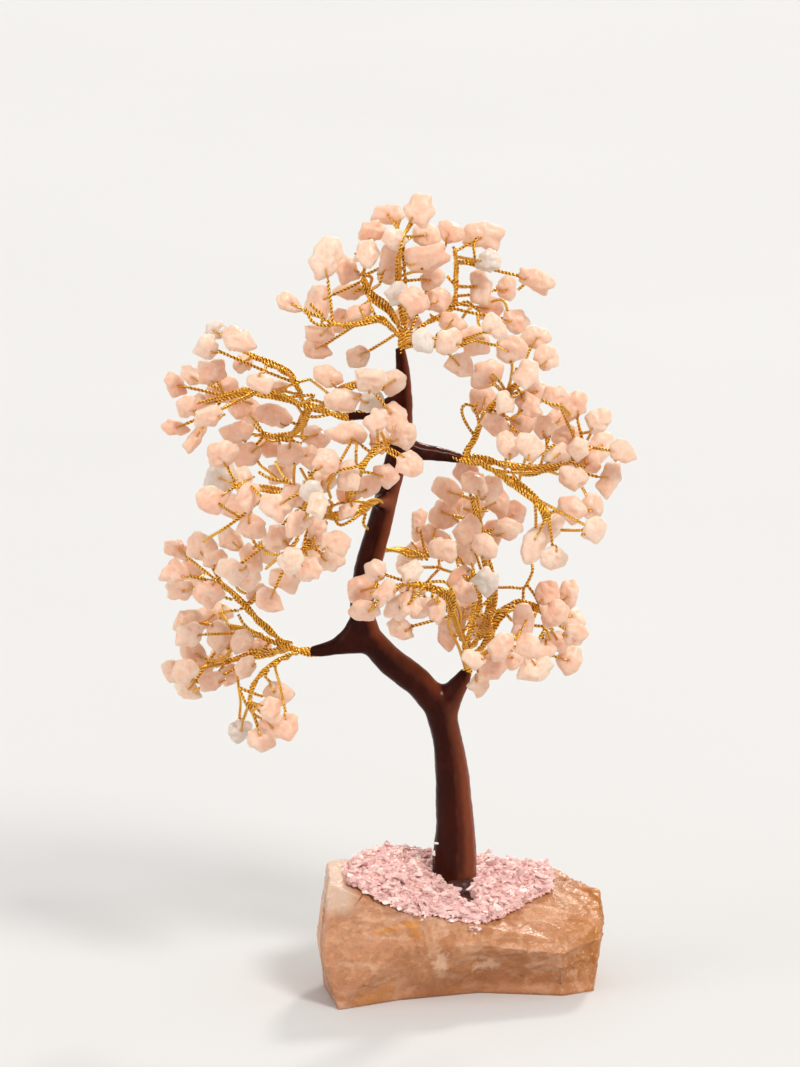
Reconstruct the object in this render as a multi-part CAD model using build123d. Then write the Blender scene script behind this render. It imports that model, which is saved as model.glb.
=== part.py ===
from build123d import *
import math
import os

import numpy as np

# Gemstone tree ornament: a rough quartz stone carries a coated wire trunk, whose wires leave it
# in twisted bundles, split into sprays, and hold a drilled quartz chip at the end of every twig.
# Millimetres. +Z is up, +X is to the right, and the side that is seen from the front faces -Y.
# The origin is on the stone's flat underside.

# Overall sizes
tree_height = 267.0
canopy_width = 156.0
canopy_depth = 140.0

# Base stone
stone_length = 96.5
stone_depth = 67.0
stone_height = 42.0

# Trunk coat, its foot in the stone and the thin wall where it ends round a bundle
trunk_foot_width = 14.5
trunk_seat_depth = 2.5
trunk_seat_clearance = 0.2
coat_tip_wall = 0.45

# Rope of wires inside the coat, and the tang that goes down into the stone
core_width = 6.4
core_upper_width = 4.4
tang_length = 14.0
tang_clearance = 0.15

# Twisted wires outside the coat
bundle_width = 2.9
stem_width = 1.9
twig_width = 0.95
seat_gap = 0.08
twig_least_length = 1.2

# Quartz chips
chip_length = 11.2
chip_thickness = 5.6
chip_gap = 0.35

# Glue bed and the crushed quartz on it
glue_rim_height = 1.1
glue_middle_height = 2.6
gravel_width = 3.3
gravel_height = 2.2

# Every place in the tree is read as shares of one upright grid, seen from a little above.
# The canopy takes up canopy_grid_share of its width and the tree tree_grid_share of its height.
view_tilt = 14.0
canopy_grid_share = 0.469
tree_grid_share = 0.778
centre_x_share = 0.4615
ground_y_share = 0.980
grid_width = canopy_width / canopy_grid_share
grid_height = tree_height * math.cos(math.radians(view_tilt)) / tree_grid_share

coat_sides = 12
bundle_sides = 6
twig_sides = 4
# Past this share of the depth axis, a section takes its first corner from the width axis instead
depth_axis_limit = math.cos(math.radians(30))
tiny = 1e-9


def unit(vector):
    return vector / np.linalg.norm(vector)


def place(x_share, y_share, depth_share):
    """A point of the tree: across, down the grid, and behind the trunk's plane."""
    depth = depth_share * canopy_depth
    rise = (ground_y_share - y_share) * grid_height
    tilt = math.radians(view_tilt)
    return np.array(
        [
            (x_share - centre_x_share) * grid_width,
            depth,
            (rise - depth * math.sin(tilt)) / math.cos(tilt),
        ]
    )


def cross_section(direction, width, sides):
    """Corner offsets of a regular section of this width across its corners, square to direction."""
    away = np.array([0.0, 1.0, 0.0])
    if abs(away @ direction) > depth_axis_limit:
        away = np.array([1.0, 0.0, 0.0])
    first = unit(away - (away @ direction) * direction)
    second = np.cross(direction, first)
    turns = [2 * math.pi * (corner + 1 / 2) / sides for corner in range(sides)]
    return [(math.cos(turn) * first + math.sin(turn) * second) * width / 2 for turn in turns]


class Block:
    """A convex piece with flat faces: rings of corners, one above the other."""

    def __init__(self, rings):
        self.corners = np.array([corner for ring in rings for corner in ring])
        count = len(rings[0])
        last = count * (len(rings) - 1)
        self.loops = [list(range(count)), list(range(last, last + count))]
        for level in range(len(rings) - 1):
            low = level * count
            for step in range(count):
                after = (step + 1) % count
                self.loops.append([low + step, low + after, low + count + after, low + count + step])
        middle = self.corners.mean(axis=0)
        normals = []
        reaches = []
        for loop in self.loops:
            a, b, c = self.corners[loop[0]], self.corners[loop[1]], self.corners[loop[2]]
            normal = unit(np.cross(b - a, c - a))
            if normal @ (a - middle) < 0:
                normal = -normal
            normals.append(normal)
            reaches.append(normal @ a)
        self.normals = np.array(normals)
        self.reaches = np.array(reaches)

    def crossing(self, starts, direction):
        """How far along direction each line enters the block, and how far it leaves it."""
        slopes = self.normals @ direction
        rooms = self.reaches[None, :] - starts @ self.normals.T
        steps = rooms / np.where(np.abs(slopes) < tiny, tiny, slopes)
        enters = np.where(slopes < 0, steps, -np.inf).max(axis=1)
        leaves = np.where(slopes > 0, steps, np.inf).min(axis=1)
        return np.where(enters < leaves, enters, np.inf), leaves

    def solid(self):
        faces = [
            Face(Wire.make_polygon([Vector(*self.corners[corner]) for corner in loop]))
            for loop in self.loops
        ]
        return Solid(Shell(faces))


def straight_piece(start, end, width, sides, leave_from=None, arrive_at=None):
    """A straight stretch of wire, cut back to seat on the blocks at its two ends."""
    direction = unit(end - start)
    corners = cross_section(direction, width, sides)
    probes = [start + corner * part for corner in corners for part in (0, 1 / 2, 1)]
    probes += [start + (a + b) / 2 for a, b in zip(corners, corners[1:] + corners[:1])]
    probes = np.array(probes)
    low = 0
    high = np.linalg.norm(end - start)
    if leave_from is not None:
        low = leave_from.crossing(probes, direction)[1].max() + seat_gap
    if arrive_at is not None:
        high = arrive_at.crossing(probes, direction)[0].min() - seat_gap
    return low, high, direction, corners


def mitred_runs(points, widths, leave_from=None):
    """Straight runs along a route, one block each, mitred where two of them meet."""
    directions = [unit(b - a) for a, b in zip(points, points[1:])]
    normals = [directions[0]]
    normals += [unit(a + b) for a, b in zip(directions, directions[1:])]
    normals.append(directions[-1])
    blocks = []
    for run, direction in enumerate(directions):
        corners = cross_section(direction, widths[run], bundle_sides)
        rings = []
        for end in (run, run + 1):
            normal = normals[end]
            rings.append(
                [
                    points[end] + corner - direction * (corner @ normal) / (direction @ normal)
                    for corner in corners
                ]
            )
        if run == 0 and leave_from is not None:
            low = straight_piece(points[0], points[1], widths[0], bundle_sides, leave_from)[0]
            rings[0] = [points[0] + corner + direction * low for corner in corners]
        blocks.append(Block(rings))
    return blocks


class Obstacles:
    """Everything placed so far, as rounded bars: two ends and a radius each."""

    def __init__(self):
        self.starts = np.empty((0, 3))
        self.ends = np.empty((0, 3))
        self.radii = np.empty(0)
        self.owners = []

    def add(self, start, end, radius, owner):
        self.starts = np.vstack([self.starts, start])
        self.ends = np.vstack([self.ends, end])
        self.radii = np.append(self.radii, radius)
        self.owners.append(owner)

    def clearances(self, start, end, radius):
        """The free space between a new rounded bar and each one here."""
        own = end - start
        theirs = self.ends - self.starts
        apart = start - self.starts
        own_square = max(own @ own, tiny)
        their_squares = np.maximum((theirs * theirs).sum(axis=1), tiny)
        mixed = theirs @ own
        own_apart = apart @ own
        their_apart = (theirs * apart).sum(axis=1)
        spread = own_square * their_squares - mixed * mixed
        along = (mixed * their_apart - own_apart * their_squares) / np.maximum(spread, tiny)
        along = np.clip(along, 0, 1)
        there = np.clip((mixed * along + their_apart) / their_squares, 0, 1)
        along = np.clip((mixed * there - own_apart) / own_square, 0, 1)
        gaps = apart + along[:, None] * own - there[:, None] * theirs
        return np.sqrt((gaps * gaps).sum(axis=1)) - self.radii - radius


# Base stone: three rings of corners, as shares of its length, depth and height, and its crown
stone_bottom_shares = [
    (-0.423, -0.537, 0), (-0.21, -0.36, 0), (0.06, -0.23, 0), (0.35, -0.285, 0),
    (0.456, -0.195, 0), (0.466, 0.12, 0), (0.35, 0.345, 0), (0.02, 0.40, 0),
    (-0.33, 0.33, 0), (-0.477, -0.09, 0),
]
stone_middle_shares = [
    (-0.477, -0.495, 0.38), (-0.21, -0.45, 0.48), (0.06, -0.40, 0.46), (0.35, -0.375, 0.38),
    (0.482, -0.21, 0.43), (0.492, 0.09, 0.48), (0.375, 0.375, 0.43), (0.04, 0.463, 0.48),
    (-0.35, 0.405, 0.46), (-0.508, -0.06, 0.43),
]
stone_top_shares = [
    (-0.456, -0.405, 0.98), (-0.21, -0.405, 0.75), (0.06, -0.375, 0.63), (0.31, -0.33, 0.49),
    (0.477, -0.18, 0.58), (0.477, 0.09, 0.71), (0.33, 0.30, 0.80), (0.04, 0.345, 0.87),
    (-0.31, 0.30, 0.93), (-0.466, -0.03, 1.0),
]
trunk_x_share = -0.024
crown_height_share = 0.765
stone_size = np.array([stone_length, stone_depth, stone_height])
stone_crown = np.array([trunk_x_share * stone_length, 0, crown_height_share * stone_height])
trunk_seat_height = stone_crown[2] - trunk_seat_depth
stone_rings = [
    [stone_size * shares for shares in ring]
    for ring in (stone_bottom_shares, stone_middle_shares, stone_top_shares)
]


def triangle(a, b, c):
    return Face(Wire.make_polygon([Vector(*a), Vector(*b), Vector(*c)]))


def ring_band(low, high):
    """The two triangles of each field between two rings of corners."""
    faces = []
    for step in range(len(low)):
        after = (step + 1) % len(low)
        faces.append(triangle(low[step], low[after], high[after]))
        faces.append(triangle(low[step], high[after], high[step]))
    return faces


def ring_fan(ring, middle):
    return [triangle(ring[step - 1], ring[step], middle) for step in range(len(ring))]


def upright_cylinder(radius, low, high):
    """A cylinder about the trunk's axis in the stone."""
    middle = Vector(stone_crown[0], stone_crown[1], low)
    return Solid.make_cylinder(radius, high - low, Plane(middle))


def make_base_stone():
    """The rough block, with a flat seat and a drilled hole for the trunk."""
    bottom, middle, top = stone_rings
    faces = [Face(Wire.make_polygon([Vector(*corner) for corner in bottom]))]
    faces += ring_band(bottom, middle) + ring_band(middle, top) + ring_fan(top, stone_crown)
    block = Solid(Shell(faces))
    seat = upright_cylinder(
        trunk_foot_width / 2 + trunk_seat_clearance, trunk_seat_height, stone_height
    )
    hole = upright_cylinder(
        core_width / 2 + tang_clearance, trunk_seat_height - tang_length, stone_height
    )
    return block - seat - hole


# Glue bed: how far it reaches from the trunk towards each corner of the stone's top
glue_reach_shares = [0.84, 0.97, 0.97, 0.52, 0.48, 0.66, 0.90, 0.85, 0.85, 0.80]
glue_middle_share = 0.52


def glue_rings():
    """The bed's rim on the stone, its rim on top, and the ring where it is thickest."""
    top = stone_rings[-1]
    up = np.array([0, 0, 1.0])
    rim_low = [
        stone_crown + (corner - stone_crown) * share
        for corner, share in zip(top, glue_reach_shares)
    ]
    rim_high = [corner + up * glue_rim_height for corner in rim_low]
    crest = [
        stone_crown + (corner - stone_crown) * glue_middle_share + up * glue_middle_height
        for corner in rim_low
    ]
    return rim_low, rim_high, crest, stone_crown + up * glue_middle_height


def make_glue_bed():
    rim_low, rim_high, crest, crown = glue_rings()
    faces = ring_fan(rim_low, stone_crown) + ring_band(rim_low, rim_high)
    faces += ring_band(rim_high, crest) + ring_fan(crest, crown)
    bed = Solid(Shell(faces))
    hole = upright_cylinder(
        trunk_foot_width / 2 + trunk_seat_clearance, trunk_seat_height, tree_height
    )
    return bed - hole


# Gravel: where bits sit on each flat field of the bed, as shares of the field's three corners
gravel_field_shares = [(0.56, 0.22, 0.22), (0.20, 0.58, 0.22), (0.22, 0.20, 0.58)]
gravel_outline_shares = [(-0.50, -0.22), (0.08, -0.50), (0.50, 0.02), (-0.06, 0.48)]
gravel_top_share = 0.55
gravel_turn = 137.5
gravel_size_spread_share = 0.25
gravel_size_phase = 2.3
gravel_height_spread_share = 0.33
gravel_height_phase = 1.7
gravel_lean_share = 0.25


def gravel_bit(middle, normal, number):
    """A crushed bit that stands on the bed: a leaning block with a smaller top."""
    turn = number * math.radians(gravel_turn)
    across = unit(np.cross(normal, [math.cos(turn), math.sin(turn), 0]))
    along = np.cross(normal, across)
    size = gravel_width * (1 + gravel_size_spread_share * math.sin(number * gravel_size_phase))
    height = gravel_height * (1 + gravel_height_spread_share * math.cos(number * gravel_height_phase))
    foot = middle + normal * seat_gap
    head = foot + (normal + across * gravel_lean_share) * height
    rings = [
        [level + (across * x + along * y) * size * scale for x, y in gravel_outline_shares]
        for level, scale in ((foot, 1), (head, gravel_top_share))
    ]
    return Block(rings).solid()


def make_gravel():
    rim_high, crest, crown = glue_rings()[1:]
    fields = []
    for step in range(len(crest)):
        after = (step + 1) % len(crest)
        fields.append((rim_high[step], rim_high[after], crest[after]))
        fields.append((rim_high[step], crest[after], crest[step]))
        fields.append((crest[step], crest[after], crown))
    bits = []
    for field, (a, b, c) in enumerate(fields):
        normal = unit(np.cross(b - a, c - a))
        for number, (share_a, share_b, share_c) in enumerate(gravel_field_shares):
            middle = a * share_a + b * share_b + c * share_c
            off_trunk = np.linalg.norm((middle - stone_crown)[:2])
            if off_trunk < trunk_foot_width / 2 + gravel_width:
                continue
            bits.append(gravel_bit(middle, normal, field * len(gravel_field_shares) + number))
    return bits


# Limbs of the trunk coat: place, depth and width, the width as a share of the trunk's foot
main_limb_shares = [
    (0.4545, 0.854, 0, 1.0), (0.455, 0.823, 0, 0.87), (0.4525, 0.779, 0, 0.79),
    (0.4475, 0.740, 0, 0.68), (0.440, 0.706, 0, 0.75), (0.418, 0.681, 0, 0.68),
    (0.391, 0.661, 0, 0.66), (0.368, 0.636, 0, 0.62), (0.361, 0.606, 0, 0.56),
    (0.367, 0.570, 0, 0.59), (0.381, 0.519, 0, 0.57), (0.391, 0.480, 0, 0.55),
    (0.402, 0.440, 0, 0.50), (0.404, 0.402, 0, 0.39), (0.4025, 0.372, 0, 0.31),
    (0.400, 0.350, 0, 0.20),
]
right_stub_shares = [
    (0.445, 0.706, 0, 0.60), (0.455, 0.688, 0, 0.52), (0.4625, 0.678, 0, 0.42),
    (0.4675, 0.668, 0, 0.30),
]
lower_left_limb_shares = [
    (0.369, 0.640, 0, 0.56), (0.352, 0.642, 0, 0.52), (0.338, 0.645, 0, 0.44),
    (0.324, 0.649, 0, 0.35), (0.309, 0.651, 0, 0.22),
]
right_limb_shares = [
    (0.402, 0.446, 0, 0.44), (0.420, 0.4525, 0, 0.40), (0.435, 0.4545, 0, 0.33),
    (0.448, 0.4565, 0, 0.28), (0.461, 0.460, 0, 0.22),
]
upper_left_limb_shares = [
    (0.405, 0.402, 0, 0.34), (0.392, 0.404, 0, 0.32), (0.380, 0.410, 0, 0.29),
    (0.366, 0.4155, 0.005, 0.26), (0.348, 0.4175, 0.01, 0.20),
]
middle_left_limb_shares = [
    (0.386, 0.503, 0, 0.40), (0.382, 0.5025, -0.045, 0.36), (0.376, 0.5025, -0.09, 0.26),
]


def limb_circles(rows, tip_width=None):
    """Centre, direction and radius of each round section along a limb."""
    centres = [place(x, y, depth) for x, y, depth, width in rows]
    radii = [width * trunk_foot_width / 2 for x, y, depth, width in rows]
    if tip_width is not None:
        radii[-1] = tip_width / 2 + coat_tip_wall
    circles = []
    for number, centre in enumerate(centres):
        before = centres[max(number - 1, 0)]
        after = centres[min(number + 1, len(centres) - 1)]
        circles.append((centre, unit(after - before), radii[number]))
    return circles


def limb_solid(circles):
    sections = []
    for centre, direction, radius in circles:
        side = np.array([0, 1.0, 0])
        if abs(direction[1]) > depth_axis_limit:
            side = np.array([1.0, 0, 0])
        side = unit(side - (side @ direction) * direction)
        plane = Plane(Vector(*centre), x_dir=Vector(*side), z_dir=Vector(*direction))
        sections.append(plane * RegularPolygon(radius, coat_sides))
    return loft(sections, ruled=True)


# Routes of the wires inside the coat and of the bundles that leave it
core_route_shares = [
    (0.4525, 0.779, 0), (0.443, 0.708, 0), (0.418, 0.682, 0), (0.389, 0.660, 0),
    (0.369, 0.635, 0), (0.362, 0.606, 0), (0.368, 0.565, 0), (0.382, 0.519, 0),
    (0.402, 0.440, 0),
]
core_thick_runs = 3
bundle_route_shares = {
    "top": [(0.404, 0.402, 0), (0.4015, 0.362, 0), (0.4005, 0.350, 0), (0.405, 0.332, 0)],
    "upper_left": [(0.380, 0.411, 0), (0.347, 0.418, 0.01), (0.322, 0.411, 0.03), (0.298, 0.404, 0.04)],
    "middle_left": [(0.374, 0.5025, -0.10), (0.352, 0.515, -0.16), (0.322, 0.517, -0.22)],
    "lower_left": [(0.345, 0.644, 0), (0.309, 0.651, 0), (0.279, 0.643, -0.01)],
    "right": [(0.425, 0.4535, 0), (0.461, 0.460, 0), (0.486, 0.463, 0.01)],
    "lower_right": [(0.459, 0.684, 0), (0.4675, 0.668, 0), (0.466, 0.645, 0)],
    "middle_right": [(0.398, 0.550, 0.05), (0.422, 0.556, 0.09)],
}
bundle_width_shares = {
    "top": 0.78, "upper_left": 0.70, "middle_left": 0.85, "lower_left": 0.85,
    "right": 0.85, "lower_right": 1.0, "middle_right": 0.6,
}
# Each run of a bundle is thinner than the last by this share, as wires leave it
bundle_taper_share = 0.03
# Which run of the core each bundle leaves, and how far along that run
bundle_exit_shares = {
    "upper_left": ("top", 0, 0.62), "middle_left": ("core", 9, 0.20),
    "lower_left": ("core", 6, 0.24), "right": ("core", 9, 0.88),
    "lower_right": ("core", 2, 0.64), "middle_right": ("core", 8, 0.30),
}


def along(points, run, share):
    return points[run] + (points[run + 1] - points[run]) * share


def bundle_widths(name, runs):
    width = bundle_width * bundle_width_shares[name]
    return [width * (1 - bundle_taper_share * run) for run in range(runs)]


def make_wire_routes():
    """Points and blocks of the core and of each bundle, by name."""
    tang_foot = np.array([stone_crown[0], 0, trunk_seat_height - tang_length])
    stone_mouth = np.array([stone_crown[0], 0, stone_crown[2] + trunk_seat_depth])
    points = [tang_foot, stone_mouth] + [place(*shares) for shares in core_route_shares]
    top_points = [place(*shares) for shares in bundle_route_shares["top"]]
    thin = len(points) - 1 - core_thick_runs
    widths = [core_width] * core_thick_runs + [core_upper_width] * thin
    blocks = mitred_runs(points + top_points, widths + bundle_widths("top", len(top_points)))
    routes = {
        "core": (points, blocks[: len(widths)]),
        "top": ([points[-1]] + top_points, blocks[len(widths):]),
    }
    for name, (parent, run, share) in bundle_exit_shares.items():
        parent_points, parent_blocks = routes[parent]
        start = along(parent_points, run, share)
        route = [start] + [place(*shares) for shares in bundle_route_shares[name]]
        blocks = mitred_runs(route, bundle_widths(name, len(route) - 1), parent_blocks[run])
        routes[name] = (route, blocks)
    return routes


def coat_limbs():
    """The round sections of every limb of the coat; each tip fits the bundle that leaves it."""
    tips = {
        "top": main_limb_shares, "lower_right": right_stub_shares,
        "lower_left": lower_left_limb_shares, "right": right_limb_shares,
        "upper_left": upper_left_limb_shares, "middle_left": middle_left_limb_shares,
    }
    limbs = [limb_circles(rows, bundle_widths(name, 1)[0]) for name, rows in tips.items()]
    foot = np.array([stone_crown[0], 0, trunk_seat_height])
    collar = np.array([stone_crown[0], 0, stone_crown[2] + trunk_seat_depth])
    up = np.array([0, 0, 1.0])
    limbs[0] = [(foot, up, trunk_foot_width / 2), (collar, up, trunk_foot_width / 2)] + limbs[0]
    return limbs


def make_trunk_coat(limbs, wire_blocks):
    coat = limb_solid(limbs[0]).fuse(*[limb_solid(limb) for limb in limbs[1:]])
    coat = coat.cut(*[block.solid() for block in wire_blocks])
    return max(coat.solids(), key=lambda piece: piece.volume)


# Chip outlines, as shares of the chip's length and width
chip_outline_shares = [
    [(-0.50, -0.05), (-0.30, -0.42), (0.18, -0.50), (0.50, -0.16), (0.38, 0.34), (-0.14, 0.50)],
    [(-0.50, -0.34), (0.04, -0.50), (0.50, -0.20), (0.42, 0.40), (-0.40, 0.50)],
    [(-0.50, 0.02), (-0.12, -0.46), (0.32, -0.50), (0.50, -0.02), (0.26, 0.46), (-0.20, 0.40)],
    [(-0.50, -0.26), (0.10, -0.50), (0.50, -0.10), (0.34, 0.42), (-0.30, 0.50)],
]
# Levels of a chip: height share, size share, and sideways shift shares
chip_level_shares = [(-0.50, 0.62, 0.03, -0.03), (0.06, 1.0, 0, 0), (0.50, 0.58, -0.04, 0.04)]
chip_lean = 22.0
chip_lean_phase = 2.4
chip_roll = 20.0
chip_roll_phase = 1.7


class Chip:
    """A tumbled chip: its block, and the rounded bar that holds it."""

    def __init__(self, middle, long_share, short_share, turn, number):
        lean = math.radians(chip_lean * math.sin(number * chip_lean_phase))
        roll = math.radians(chip_roll * math.cos(number * chip_roll_phase))
        angle = math.radians(turn)
        along_x = math.cos(angle) * math.cos(lean)
        along_z = math.sin(angle) * math.cos(lean)
        length_axis = np.array([along_x, math.sin(lean), along_z])
        front = np.array([0, -1.0, 0])
        face_axis = unit(front - (front @ length_axis) * length_axis)
        width_axis = np.cross(face_axis, length_axis)
        face_axis, width_axis = (
            face_axis * math.cos(roll) + width_axis * math.sin(roll),
            width_axis * math.cos(roll) - face_axis * math.sin(roll),
        )
        length = chip_length * long_share
        width = chip_length * short_share
        thickness = chip_thickness * (short_share + 1) / 2
        outline = chip_outline_shares[number % len(chip_outline_shares)]
        rings = []
        for height, scale, shift_x, shift_y in chip_level_shares:
            rings.append(
                [
                    middle
                    + length_axis * (x * scale + shift_x) * length
                    + width_axis * (y * scale + shift_y) * width
                    + face_axis * height * thickness
                    for x, y in outline
                ]
            )
        self.middle = middle
        self.block = Block(rings)
        half = length_axis * max((length - width) / 2, chip_gap)
        self.start = middle - half
        self.end = middle + half
        offsets = self.block.corners - self.start
        spots = np.clip(offsets @ (2 * half) / (4 * half @ half), 0, 1)
        self.radius = np.linalg.norm(offsets - spots[:, None] * 2 * half, axis=1).max()


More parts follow.
